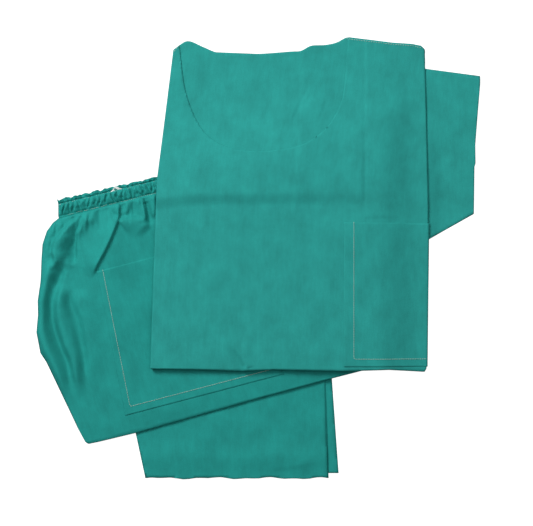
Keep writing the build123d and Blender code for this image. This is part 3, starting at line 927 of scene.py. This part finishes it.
class SUIT_OT_sleeves(bpy.types.Operator):
    """The left sleeve, whose end stands out past the right fold"""

    bl_idname = "suit.sleeves"
    bl_label = "Sleeves"

    def execute(self, context):
        size = sizes()
        start = RIGHT - 14 * MM
        top_edge = lambda x: SHOULDER - 40.8 * MM - (x - RIGHT) * 0.135
        foot = (CUFF - 7.2 * MM, SHOULDER - 229.5 * MM)
        under = (RIGHT + 3 * MM, SHOULDER - 262.5 * MM)
        slope = (foot[1] - under[1]) / (foot[0] - under[0])
        cuff = [(CUFF + 1 * MM, top_edge(CUFF)), (CUFF + 1 * MM, top_edge(CUFF) - 10 * MM),
                (CUFF - 2.6 * MM, SHOULDER - 104 * MM), (CUFF - 5.4 * MM, SHOULDER - 140 * MM),
                (CUFF - 5.0 * MM, SHOULDER - 164 * MM), (CUFF - 6.4 * MM, SHOULDER - 168 * MM), foot]
        outline = np.array([(start, top_edge(start))] + cuff + [under, (start, under[1] + slope * (start - under[0]))])
        xs = lines((start, CUFF + 2 * MM, 1.8 * MM))
        ys = lines((outline[:, 1].min() - 2 * MM, outline[:, 1].max() + 2 * MM, 1.8 * MM))
        flat, faces = fill(outline, xs, ys)
        x, y = flat[:, 0], flat[:, 1]
        upper_edge = smooth((top_edge(x) - y) / (4 * MM))
        lower_edge = smooth((y - (under[1] + slope * (x - under[0]))) / (4 * MM))
        under_tunic = smooth((RIGHT + 22 * MM - x) / (24 * MM))
        base = 0.2 * MM + (upper_ground(np.minimum(x, RIGHT), y) + 0.2 * MM) * under_tunic
        gape = TUBE * 0.7 + 0.9 * MM * smooth((x - CUFF + 40 * MM) / (40 * MM))
        swell = gape * np.sqrt(np.clip(upper_edge * lower_edge, 0, 1))
        ripple = 0.7 * MM * clouds(x, y, 34 * MM, 21) + 0.3 * MM * clouds(x, y, 12 * MM, 22)
        ripple = ripple * upper_edge * lower_edge * smooth((x - RIGHT) / (20 * MM))
        top = base + swell + np.maximum(ripple, -0.4 * swell) + 0.35 * MM
        low = base + 0.02 * MM
        for name, heights, offset, nodes in (
                ("left_sleeve_top", top, -1.0, ["left_sleeve_end", "left_sleeve", "sleeve_end_seam"]),
                ("left_sleeve_under", low, 1.0, ["right_sleeve"])):
            piece = cloth_object(name, np.column_stack([x, y, heights]), faces, flat, material("tunic_cloth"))
            thicken(piece, size.cloth, offset)
            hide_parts(*nodes)
            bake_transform(piece)
            flat_area(flat, faces)
        return {"FINISHED"}


class SUIT_OT_shoulder_seams(bpy.types.Operator):
    """The two shoulder seams"""

    bl_idname = "suit.shoulder_seams"
    bl_label = "Shoulder seams"

    def execute(self, context):
        right = near_neck([(110, -0.5), (140, -4.2), (168, -7.6), (194, -9.6), (205, -12)])
        left = [(left_fold(np.array([SHOULDER]))[0], SHOULDER - 16 * MM),
                (NECK_MIDDLE - 109 * MM, SHOULDER - 9.8 * MM)]
        for name, ends, node in (("right_shoulder_stitching", right, "right_shoulder_seam"),
                                 ("left_shoulder_stitching", left, "left_shoulder_seam")):
            route = curve_through([np.array(e) - (0, 1.6 * MM) for e in ends], 12)
            heights = upper_top(route[:, 0], route[:, 1]) - 0.15 * MM
            stitch_row(name, np.column_stack([route, heights]), "tunic_upper", node)
            bpy.data.objects[name].data.materials[0] = material("tunic_cloth")
        return {"FINISHED"}


# ---- the trousers ----

# The hips' left side from the waist down, in millimetres of the trousers' frame
HIP_SIDE = [(0, 0), (-3, 14), (-12.5, 22.5), (-23, 31), (-32.5, 46), (-38.5, 64), (-47, 92), (-57, 116), (-61, 133),
            (-69, 155), (-71, 182), (-66.5, 195), (-58, 240), (-49.5, 285), (-44, 311)]
WAIST_WIDTH = 300 * MM
CASING = 16 * MM
RUFFLE = 6 * MM
STITCH_LINE = CASING + 2 * MM  # where the hips' cloth starts
KNEE_LINE = 62 * MM  # the legs' hidden fold


def hip_outline():
    """The hips from the casing's stitching to the fold, closed."""
    left = np.array(HIP_SIDE) * MM
    right = left[::-1] * (-1, 1) + (WAIST_WIDTH, 0)
    return np.vstack([left, right])


def under_tunic(x, y, margin=6 * MM):
    """1 where the tunic presses on the trousers, 0 in the open."""
    inside = smooth((x - left_fold(y) + margin) / (14 * MM))
    return inside * smooth((y - FOLD_LINE + 8 * MM) / (10 * MM))


# Pleats and creases of the hips in millimetres of the trousers' frame:
# line, width on its left, width on its right, height, fades at its start and end
HIP_PLEATS = [
    ([(78, 14), (76, 24), (69, 42), (56, 60), (47, 71), (38, 81), (28, 92), (17, 106)], 32, 2.5, 3.4, (0.02, 0.2)),
    ([(73, 34), (58, 58), (49, 70), (40, 80), (30, 91), (20, 103)], 8, 34, 1.5, (0.1, 0.2)),
    ([(70, 46), (79, 43), (90, 45), (100, 52), (108, 64)], 26, 6, 3.4, (0.1, 0.25)),
    ([(107, 17), (107, 34), (104, 54)], 13, 2.5, 3.6, (0.05, 0.2)),
    ([(90, 17), (87, 28), (79, 38)], 7, 5, 1.6, (0.05, 0.3)),
    ([(124, 17), (122, 34), (114, 52)], 9, 5, 3.2, (0.05, 0.25)),
    ([(48, 17), (40, 28), (30, 38)], 6, 9, 1.5, (0.05, 0.4)),
    ([(30, 17), (22, 25), (5, 35), (-5, 42), (-15, 50), (-20, 60), (-20, 70), (-27, 83)],
     6, 24, 6.0, (0.1, 0.2)),
    ([(-8, 20), (-14, 32), (-16, 42)], 5, 3, 2.0, (0.2, 0.4)),
    ([(38, 17), (31, 30), (26, 46)], 4, 3, 1.6, (0.1, 0.5)),
    ([(12, 20), (10, 28), (2, 34)], 3, 3, 1.0, (0.2, 0.4)),
    ([(-22, 40), (-27, 56), (-27, 70)], 6, 5, 1.4, (0.2, 0.4)),
    ([(-20, 66), (-30, 78), (-41, 92), (-47, 102), (-55, 116), (-62, 134), (-64, 160), (-60, 190),
      (-54, 220), (-50, 260)], 10, 22, 5.4, (0.12, 0.25)),
    ([(-20, 100), (-30, 122), (-33, 150), (-33, 180), (-30, 200), (-33, 225), (-36, 258)], 13, 16, 4.2, (0.1, 0.25)),
    ([(-2, 112), (-4, 150), (-6, 180), (-9, 205), (-13, 240)], 12, 26, 2.2, (0.15, 0.3)),
]
HIP_HOLLOWS = [
    ([(27, 20), (22, 30), (19, 36), (13, 43), (11, 50), (7, 60), (5, 70), (-1, 83)], 20, 4, 4.8, (0.1, 0.2)),
    ([(-6, 84), (-16, 84), (-22, 92), (-27, 100), (-32, 110), (-38, 120), (-43, 135), (-46, 150),
      (-44, 180), (-41, 210), (-41, 258)], 15, 9, 4.4, (0.1, 0.25)),
    ([(-14, 112), (-17, 132), (-13, 155), (-15, 180), (-18, 205), (-23, 225), (-27, 258)], 12, 9, 2.4, (0.15, 0.3)),
    ([(109, 26), (110, 42), (109, 58)], 2.5, 8, 3.6, (0.1, 0.2)),
    ([(64, 19), (66, 30), (72, 38)], 8, 5, 2.0, (0.1, 0.3)),
]


def hip_relief(x, y):
    """The gathers' pleats as they run out over the hips."""
    u, v = trouser_uv(x, y)
    points = np.stack([u, v], -1)
    relief = 0.5 * MM * clouds(u, v, 40 * MM, 31)
    crumple = clouds(u, v, 9 * MM, 35) + 0.5 * clouds(u + 0.4 * v, v, 4.5 * MM, 36)
    relief = relief + 0.6 * MM * crumple * smooth((40 * MM - u) / (50 * MM)) * smooth((110 * MM - v) / (40 * MM))
    for line, left, right, height, fade in HIP_PLEATS:
        relief = relief + pleat(points, np.array(line) * MM, left * MM, right * MM, height * MM, fade)
    for line, left, right, depth, fade in HIP_HOLLOWS:
        relief = relief - pleat(points, np.array(line) * MM, left * MM, right * MM, depth * MM, fade)
    gathers = smooth((58 * MM - v) / (42 * MM))
    pulled = pucker_depth(u + 0.22 * (v - CASING), np.full_like(v, CASING))
    relief = relief + gathers * (1.3 * MM * clouds(u + 0.25 * v, v * 0.35, 6 * MM, 33) - 1.9 * MM * pulled)
    calm = 1 - 0.8 * under_tunic(x, y)
    return 1.5 * relief * calm * smooth((v - STITCH_LINE) / (8 * MM))


def hip_puff(x, y):
    """The gathers hold the hips off the legs in the open; the tunic presses them flat."""
    u, v = trouser_uv(x, y)
    open_cloth = 1 - smooth((x - left_fold(y) + 34 * MM) / (46 * MM))
    start = 0.5 * smooth((v - STITCH_LINE) / (4 * MM)) + 0.5 * smooth((v - STITCH_LINE) / (50 * MM))
    length = start * (1 - smooth((v - 150 * MM) / (150 * MM)))
    width = 1 - smooth((u - 20 * MM) / (80 * MM))
    return 4.8 * MM * open_cloth * length * (0.35 + 0.65 * width)


def hip_top(x, y):
    """Top of the hips, without their pocket."""
    u, v = trouser_uv(x, y)
    rise = 2 * TUBE + hip_relief(x, y) + hip_puff(x, y)
    rise = rise - 2.4 * MM * np.square(np.clip((v - HIP_LENGTH + 24 * MM) / (24 * MM), 0, None))
    below = v - STITCH_LINE
    bulge = (6.6 * MM + 1.8 * MM * clouds(u, v * 0.3, 8 * MM, 37)) * (1 - 0.6 * under_tunic(x, y))
    rise = rise + bulge * smooth(below / (2.5 * MM)) * (1 - smooth((below - 2 * MM) / (38 * MM)))
    body = hip_ground(v) + at_least(rise, 1.0 * MM, 0.6 * MM)
    ceiling = tunic_ground(x, y) - 0.9 * MM
    covered = under_tunic(x, y)
    return np.where(covered > 0, np.minimum(body, ceiling * covered + body * (1 - covered)), body)


def edge_round(distance, radius):
    """0 at a fold's edge, rising round it to 1 at radius inside."""
    inner = np.clip(distance / radius, 0, 1)
    return np.sqrt(1 - (1 - inner) ** 2)


class SUIT_OT_hips(bpy.types.Operator):
    """The trousers' hips: the upper and under layers, gathered at the waist"""

    bl_idname = "suit.hips"
    bl_label = "Hips"

    def execute(self, context):
        size = sizes()
        outline = hip_outline()
        fine = 1.5 * MM
        xs = lines((outline[:, 0].min() - 3 * MM, 160 * MM, fine), (160 * MM, outline[:, 0].max() + 3 * MM, 5 * MM))
        ys = lines((STITCH_LINE, HIP_LENGTH, fine))
        cut = outline.copy()
        cut[:, 1] = np.clip(cut[:, 1], STITCH_LINE, HIP_LENGTH)
        flat, faces = fill(cut, xs, ys)
        places = trouser_place(flat[:, 0], flat[:, 1])
        x, y = places[:, 0], places[:, 1]
        sides = np.array([p for p in cut if p[1] < HIP_LENGTH - 1 * MM])
        left_side, right_side = sides[:len(sides) // 2], sides[len(sides) // 2:]
        near_left, _ = beside(flat, left_side)
        near_right, _ = beside(flat, right_side)
        distance = np.minimum(np.abs(near_left), np.abs(near_right))
        ground = hip_ground(flat[:, 1]) + 0.15 * MM
        top = hip_top(x, y)
        middle = ground + 0.35 * (top - ground)
        rounding = edge_round(distance, 3.5 * MM + 0.7 * (top - ground - 2 * TUBE).clip(0))
        upper = middle + (top - middle) * rounding
        lower = middle + (ground - middle) * rounding
        for name, heights, offset, node in (("trouser_front", upper, -1.0, "trouser_front_panel"),
                                            ("trouser_back", lower, 1.0, "trouser_back_panel")):
            piece = cloth_object(name, np.column_stack([x, y, heights]), turned(faces), flat,
                                 material("trouser_cloth"))
            thicken(piece, size.cloth, offset, on_trouser_fold)
            finish_piece(piece, "hips", [node])
            flat_area(flat, faces)
        return {"FINISHED"}


def casing_slip(u):
    """How far the gathers pull the casing down the hips."""
    return 0.8 * MM + 2.2 * MM * np.clip(u / (120 * MM), 0, 1)


def pucker_lines():
    """Places and depths of the casing's small puckers along the waist."""
    draw = np.random.default_rng(sizes().pucker)
    found, u = [], 3 * MM
    while u < WAIST_WIDTH - 3 * MM:
        found.append((u, draw.uniform(-5, 5) * MM, draw.uniform(0.6, 1.0), draw.uniform(1.0, 2.4) * MM))
        u += draw.uniform(3.4, 9.5) * MM
    return found


def pucker_depth(u, v):
    """0 on the casing's swells and up to 1 in its puckers."""
    depth = np.zeros_like(u)
    for place, lean, deep, wide in pucker_lines():
        bend = lean * (v / CASING - 0.5) + 0.8 * MM * np.sin(v / (3.1 * MM) + 900 * place)
        off = u - place - bend
        depth = np.maximum(depth, deep * bell(off / np.where(off > 0, 0.6 * wide, 1.7 * wide)))
    return depth


def casing_top(u, v):
    """Top of the front casing: a soft tube between two rows of stitches, with a ruffle above it."""
    within = np.clip(v / CASING, 0, 1)
    pulled = pucker_depth(u, v)
    tube = (1.6 * MM + 4.4 * MM * np.sin(pi * within ** 0.8) ** 0.7) * (1 - 0.85 * pulled)
    ripples = 1.0 * MM * clouds(u, v, 3.4 * MM, 41) + 1.5 * MM * clouds(u, v * 0.6, 7 * MM, 42)
    tube = tube + ripples * np.sin(pi * within)
    ruffle = 5.4 * MM * (0.5 + 0.5 * clouds(u, v * 0.3, 3.1 * MM, 43)) * (1 - 0.7 * pulled)
    ruffle = ruffle + 0.8 * MM * clouds(u, v, 1.9 * MM, 48)
    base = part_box("waist_casing_front")[1].z - 1.0 * MM
    pinch = (1.1 * MM + 1.3 * MM * clouds(u, v * 0, 4 * MM, 49)) * bell(v / (1.2 * MM))
    pinch = pinch + 0.5 * MM * bell((v - CASING + 0.6 * MM) / (1.0 * MM))
    above = smooth(-v / (2 * MM))
    return base + tube * (1 - above) + ruffle * above - pinch


class SUIT_OT_waist(bpy.types.Operator):
    """The elastic waist: its casing, its elastic and its two rows of stitches"""

    bl_idname = "suit.waist"
    bl_label = "Waist"

    def execute(self, context):
        size = sizes()
        us = np.arange(0, WAIST_WIDTH + 0.1 * MM, 0.8 * MM)
        vs = np.concatenate([np.linspace(-RUFFLE, 0, 9)[:-1], np.linspace(0, STITCH_LINE, 25)])
        for name, side, node in (("waist_casing_upper", 1, "waist_casing_front"),
                                 ("waist_casing_under", -1, "waist_casing_back")):
            places, flat, faces = self.strip(us, vs, side)
            piece = cloth_object(name, places, faces, flat, material("trouser_cloth"))
            thicken(piece, size.cloth, -1.0 if side > 0 else 1.0)
            finish_piece(piece, "hips", [node])
        self.elastic()
        for name, row_v, lift, node in (
                ("casing_stitch_row_upper", 1.0 * MM, -0.5 * MM, "casing_upper_stitches"),
                ("casing_stitch_row_lower", CASING + 0.2 * MM, 0.35 * MM, "casing_lower_stitches")):
            u = np.linspace(10 * MM, WAIST_WIDTH - 2 * MM, 240)
            v = np.full_like(u, row_v) + 0.6 * MM * clouds(u, u * 0, 9 * MM, 47)
            place = trouser_place(u, v + casing_slip(u))
            heights = self.heights(u, v)
            if row_v > CASING / 2:
                heights = np.maximum(heights, hip_top(place[:, 0], place[:, 1]))
            route = np.column_stack([place, heights + lift])
            stitch_row(name, route, "hips", node, pitch=2.7 * MM, stitch=1.9 * MM, thread=0.45 * MM)
        return {"FINISHED"}

    def heights(self, u, v):
        """Top of the casing, pressed flat under the tunic."""
        place = trouser_place(u, v + casing_slip(u))
        covered = under_tunic(place[:, 0], place[:, 1], 2 * MM)
        full = casing_top(u, v)
        return full * (1 - covered) + np.minimum(full, 5.0 * MM) * covered

    def strip(self, us, vs, side):
        """The casing's upper (1) or under (-1) layer: its places, its flat pattern and its faces."""
        u, v = (grid.ravel() for grid in np.meshgrid(us, vs, indexing="ij"))
        waves = 1.7 * MM * clouds(u, u * 0, 5 * MM, 45) + 0.9 * MM * clouds(u, u * 0, 2.4 * MM, 46)
        wavy = v + smooth(-v / RUFFLE) * waves
        shift = 0.8 * MM * clouds(u, v, 6 * MM, 44)
        lean = 4 * MM * np.clip(v / (15 * MM), 0, 1) * (2 * u / WAIST_WIDTH - 1)
        wavy = np.where(v < 0, wavy * (0.95 - 0.3 * np.clip(u / (120 * MM), 0, 1)), wavy)
        place = trouser_place(u + lean + shift * smooth((u - 4 * MM) / (6 * MM)), wavy + casing_slip(u))
        top = self.heights(u, v)
        middle = 1.2 * MM
        ends = edge_round(np.minimum(u, WAIST_WIDTH - u), 3 * MM)
        height = middle + (top - middle) * ends if side > 0 else middle - (middle - 0.4 * MM) * ends
        faces = strip_faces(len(us), len(vs), side < 0)
        return np.column_stack([place, height]), np.column_stack([u, v]), faces

    def elastic(self):
        """A flat braid inside the casing; a corner of it shows at the ruffle."""
        us, vs = np.linspace(2 * MM, WAIST_WIDTH - 2 * MM, 150), np.linspace(1 * MM, CASING - 2 * MM, 6)
        u, v = (grid.ravel() for grid in np.meshgrid(us, vs, indexing="ij"))
        for name, level, node in (("elastic_front", 2.9 * MM, "waist_elastic_front"),
                                  ("elastic_back", 1.1 * MM, "waist_elastic_back")):
            tongue = bell((u - 78 * MM) / (5.5 * MM)) * (level > 2 * MM)
            place = trouser_place(u, v + casing_slip(u) - tongue * 5.0 * MM * (1 - v / CASING))
            height = level + 0.25 * MM * np.sin(u / (2.1 * MM)) + 4.0 * MM * tongue * smooth((4 * MM - v) / (3 * MM))
            faces = strip_faces(len(us), len(vs), False)
            piece = cloth_object(name, np.column_stack([place, height]), faces, np.column_stack([u, v]),
                                 material("elastic"))
            thicken(piece, 0.8 * MM)
            finish_piece(piece, "hips", [node])


class SUIT_OT_trouser_pocket(bpy.types.Operator):
    """The trousers' patch pocket and its stitching"""

    bl_idname = "suit.trouser_pocket"
    bl_label = "Trouser pocket"

    def execute(self, context):
        size = sizes()
        mouth, foot, mouth_left, foot_left, right = 98.5, 288.5, 27, 15, 227  # millimetres of the trousers' frame
        corners = np.array([(mouth_left, mouth), (right, mouth), (right, foot), (foot_left, foot)]) * MM
        xs = lines((foot_left * MM, right * MM, 1.8 * MM))
        ys = lines((mouth * MM, foot * MM, 1.8 * MM))
        flat, faces = fill(corners, xs, ys)
        place = trouser_place(flat[:, 0], flat[:, 1])
        top = hip_top(place[:, 0], place[:, 1]) + 0.36 * MM
        piece = cloth_object("trouser_patch_pocket", np.column_stack([place, top]), turned(faces), flat,
                             material("trouser_cloth"))
        thicken(piece, size.cloth)
        finish_piece(piece, "hips", ["trouser_pocket"])
        inset = 10
        route = MM * curve_and_corners([(mouth_left + inset - 2, mouth + 1), (foot_left + inset - 1, foot - inset),
                                        (right - inset, foot - inset), (right - inset, mouth + 1)], 3)
        line = trouser_place(route[:, 0], route[:, 1])
        heights = hip_top(line[:, 0], line[:, 1]) + 0.55 * MM
        stitch_row("trouser_pocket_stitch_row", np.column_stack([line, heights]), "hips", "trouser_pocket_stitches")
        return {"FINISHED"}


def curve_and_corners(points, radius, gap=2.0):
    """Straight runs between points, with small rounded corners."""
    points = np.array(points, float)
    route = [points[0]]
    for a, b, c in zip(points, points[1:], points[2:]):
        into, out = (b - a) / np.linalg.norm(b - a), (c - b) / np.linalg.norm(c - b)
        start, end = b - into * radius, b + out * radius
        steps = max(2, int(np.linalg.norm(start - route[-1]) / gap))
        route += [route[-1] + (start - route[-1]) * t for t in np.linspace(0, 1, steps + 1)[1:]]
        route += [(1 - t) ** 2 * start + 2 * t * (1 - t) * b + t * t * end for t in (0.25, 0.5, 0.75, 1)]
    steps = max(2, int(np.linalg.norm(points[-1] - route[-1]) / gap))
    route += [route[-1] + (points[-1] - route[-1]) * t for t in np.linspace(0, 1, steps + 1)[1:]]
    return np.array(route)


def leg_tube(name, corners, low, high, body, nodes, relief, net=3 * MM):
    """A flat tube of cloth: two layers that meet at its long sides."""
    size = sizes()
    outline = np.array(corners, float)
    xs = lines((outline[:, 0].min() - net, outline[:, 0].max() + net, net))
    ys = lines((outline[:, 1].min() - net, outline[:, 1].max() + net, net))
    flat, faces = fill(outline, xs, ys)
    x, y = flat[:, 0], flat[:, 1]
    sides = [outline[[0, -1]], outline[[1, 2]]]
    distance = np.minimum(*[np.abs(beside(flat, side)[0]) for side in sides])
    rounding = edge_round(distance, 1.6 * MM)
    middle = (low + high) / 2
    top = middle + (high - middle) * rounding + relief(x, y) * rounding
    under = middle + (low - middle) * rounding
    for part, heights, offset in (("upper", top, -1.0), ("under", under, 1.0)):
        piece = cloth_object(f"{name}_{part}", np.column_stack([x, y, heights]), faces, flat,
                             material("trouser_cloth"))
        thicken(piece, size.cloth, offset)
        finish_piece(piece, body, nodes if part == "upper" else [])
        flat_area(flat, faces)


def roll_reach(u):
    """How far the hips' fold bulges out past its line along the waist's direction."""
    return float(np.interp(u, np.array([-42, -27, 21, 119, 201, 257, 312]) * MM,
                           np.array([4.5, 5.5, 6.8, 4.6, 2.9, 2.5, 1.4]) * MM))


def rolled(turn, start=radians(68)):
    """A point of a roll whose top begins already sloping: how far out, and how far up."""
    angle = -pi / 2 + (turn + pi / 2) / pi * (start + pi / 2)
    middle = (sin(start) - 1) / 2
    return max(0.0, (cos(angle) - cos(start) * (turn + pi / 2) / pi)), (sin(angle) - middle) / (sin(start) - middle)


class SUIT_OT_legs(bpy.types.Operator):
    """The folded legs: two thighs, two lower legs and the fold up to the hips"""

    bl_idname = "suit.legs"
    bl_label = "Legs"

    def execute(self, context):
        for node, level in (("right_lower_leg", 0), ("left_lower_leg", 1)):
            low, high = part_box(node)
            shift = np.array((high.x, low.y)) - np.array((top_of("left_lower_leg").x, foot_of("left_lower_leg").y))
            hem_left = trouser_place(19 * MM, 374 * MM)
            hem_right = hem_left + (238.2 * MM, 0)
            corners = [trouser_place(33 * MM, KNEE_LINE), trouser_place(WAIST_WIDTH + 33 * MM, KNEE_LINE),
                       hem_right + shift]
            if level:
                across = np.linspace(1, 0, 30)[1:-1]
                wave = 0.9 * MM * np.sin(across * 21) + 0.7 * MM * np.sin(across * 47 + 1)
                corners += [hem_left + (hem_right - hem_left) * t + (0, w) for t, w in zip(across, wave)]
            corners.append(hem_left + shift)
            def relief(x, y, level=level):
                hem = foot_of("left_lower_leg").y
                wave = 0.9 * MM * clouds(x, y, 45 * MM, 51 + level) + 0.4 * MM * clouds(x, y, 19 * MM, 54)
                wave = wave + 2.2 * MM * bell((y - hem - 28 * MM) / (16 * MM)) * (1 + 0.4 * np.sin(x / (38 * MM)))
                wave = wave * smooth((hem + 110 * MM - y) / (50 * MM))
                line = [(8 * MM, hem + 11 * MM), (45 * MM, hem + 15 * MM), (84 * MM, hem + 23 * MM)]
                crease = pleat(np.stack([x, y], -1), line, 10 * MM, 3 * MM, 0.6 * MM, (0.3, 0.3))
                return (wave + crease) * level + 0.2 * MM
            self.tube(node, corners, level, [node] + (["left_leg_seam"] if level else []), relief)
        for node, level in (("right_thigh", 2), ("left_thigh", 3)):
            slip = 2 * MM if level == 2 else 0
            corners = [trouser_place(-42 * MM, HIP_LENGTH), trouser_place(WAIST_WIDTH + 42 * MM, HIP_LENGTH + slip),
                       trouser_place(WAIST_WIDTH + 10 * MM, KNEE_LINE), trouser_place(10 * MM, KNEE_LINE)]
            self.tube(node, corners, level, [node], lambda x, y: 0 * x)
        self.turns()
        return {"FINISHED"}

    def tube(self, node, corners, level, nodes, relief):
        """One leg's tube at its level in the stack, counted from the table."""
        leg_tube(node + "_leg", corners, level * TUBE + 0.1 * MM, (level + 1) * TUBE - 0.1 * MM, "legs", nodes, relief)

    def turns(self):
        """The rounded turn from the hips down to the thighs, one sheet inside another."""
        size = sizes()
        for name, ends, low, smaller in (("hip_front_turn", (-43.5, 343.5), 2 * TUBE + 0.1 * MM, 0.0),
                                         ("hip_back_turn", (-41, 341), 3 * TUBE, 1.4 * MM)):
            us = np.linspace(ends[0] * MM, ends[1] * MM, 190)
            places, flat = [], []
            starts = trouser_place(us, np.full_like(us, HIP_LENGTH))
            highs = hip_top(starts[:, 0], starts[:, 1]) - smaller
            for u, high in zip(us, highs):
                inward = min(u - us[0], us[-1] - u)
                corner = min(1.0, max(0.0, inward / (3 * MM))) ** 0.5
                middle = (low + high) / 2
                reach = (0.3 + 0.7 * corner) * (roll_reach(u) - 0.6 * smaller)
                travelled = 0.0
                for turn in TURN_ANGLES:
                    out, rise = rolled(turn)
                    spot = trouser_place(u, HIP_LENGTH + reach * out)
                    places.append((*spot, middle + (high - low) / 2 * rise))
                    if turn > TURN_ANGLES[0]:
                        travelled += float(np.linalg.norm(np.subtract(places[-1], places[-2])))
                    flat.append((u, travelled))
            faces = strip_faces(len(us), len(TURN_ANGLES))
            piece = cloth_object(name, places, faces, flat, material("trouser_cloth"))
            thicken(piece, size.cloth, joined=on_trouser_fold)
            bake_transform(piece)
            flat_area(np.array(flat), faces)


# ---- the stage ----

class SUIT_OT_stage(bpy.types.Operator):
    """A plain pale floor, soft light from above and a camera that looks straight down"""

    bl_idname = "suit.stage"
    bl_label = "Stage"

    def execute(self, context):
        size = sizes()
        scene = context.scene
        mesh = bpy.data.meshes.new("floor")
        half = 6
        mesh.from_pydata([(-half, -half, 0), (half, -half, 0), (half, half, 0), (-half, half, 0)], [], [(0, 1, 2, 3)])
        floor = bpy.data.objects.new("floor", mesh)
        scene.collection.objects.link(floor)
        pale = bpy.data.materials.new("floor_white")
        pale.use_nodes = True
        shader = pale.node_tree.nodes["Principled BSDF"]
        shader.inputs["Base Color"].default_value = (0.3, 0.3, 0.3, 1)
        shader.inputs["Roughness"].default_value = 1.0
        shader.inputs["Specular IOR Level"].default_value = 0.0
        shader.inputs["Emission Color"].default_value = (1, 1, 1, 1)
        seen = add(pale.node_tree, "ShaderNodeLightPath").outputs["Is Camera Ray"]
        pale.node_tree.links.new(seen, shader.inputs["Emission Strength"])
        mesh.materials.append(pale)
        world = bpy.data.worlds.new("soft_room")
        world.use_nodes = True
        world.node_tree.nodes["Background"].inputs["Color"].default_value = (1, 1, 1, 1)
        world.node_tree.nodes["Background"].inputs["Strength"].default_value = 0.2
        scene.world = world
        self.lamp("window", (-1.35, 1.6, 2.0), 1.2, 76)
        self.lamp("overhead", (0.4, 0.6, 2.6), 1.4, 15)
        low, high = cad_box
        camera = bpy.data.cameras.new("camera")
        camera.sensor_width = 36
        camera.lens = camera.sensor_width * size.view_height / size.view_width
        camera.clip_end = 50
        eye = bpy.data.objects.new("camera", camera)
        eye.location = ((low.x + high.x) / 2 + 11.7 * MM, (low.y + high.y) / 2 - 6.8 * MM, size.view_height)
        scene.collection.objects.link(eye)
        scene.camera = eye
        scene.view_settings.view_transform = "Standard"
        scene.view_settings.look = "None"
        return {"FINISHED"}

    def lamp(self, name, place, width, power):
        light = bpy.data.lights.new(name, "AREA")
        light.shape = "DISK"
        light.size = width
        light.energy = power
        lamp = bpy.data.objects.new(name, light)
        lamp.location = place
        direction = -np.array(place)
        lamp.rotation_euler = (np.arctan2(np.hypot(direction[0], direction[1]), -direction[2]), 0,
                               np.arctan2(direction[1], direction[0]) - pi / 2)
        bpy.context.scene.collection.objects.link(lamp)


class SUIT_PT_panel(bpy.types.Panel):
    """Lists the suit's sizes, colours and pieces"""

    bl_idname = "SUIT_PT_panel"
    bl_label = "Folded patient suit"
    bl_space_type = "VIEW_3D"
    bl_region_type = "UI"
    bl_category = "Suit"

    def draw(self, context):
        for group in (context.scene.suit_sizes, context.scene.suit_colours):
            for key in group.__annotations__:
                self.layout.prop(group, key)
        for operator in OPERATORS:
            self.layout.operator(operator.bl_idname)


OPERATORS = (SUIT_OT_legs, SUIT_OT_hips, SUIT_OT_waist, SUIT_OT_trouser_pocket, SUIT_OT_tunic_lower,
             SUIT_OT_tunic_upper, SUIT_OT_tunic_pocket, SUIT_OT_sleeves, SUIT_OT_shoulder_seams, SUIT_OT_stage)
CLASSES = (SuitSizes, SuitColours, *OPERATORS, SUIT_PT_panel)


def register():
    for one in CLASSES:
        bpy.utils.register_class(one)
    bpy.types.Scene.suit_sizes = PointerProperty(type=SuitSizes)
    bpy.types.Scene.suit_colours = PointerProperty(type=SuitColours)


def unregister():
    del bpy.types.Scene.suit_colours
    del bpy.types.Scene.suit_sizes
    for one in reversed(CLASSES):
        bpy.utils.unregister_class(one)


def main():
    register()
    for operator in OPERATORS:
        group, name = operator.bl_idname.split(".")
        getattr(getattr(bpy.ops, group), name)()


if __name__ == "__main__":
    main()
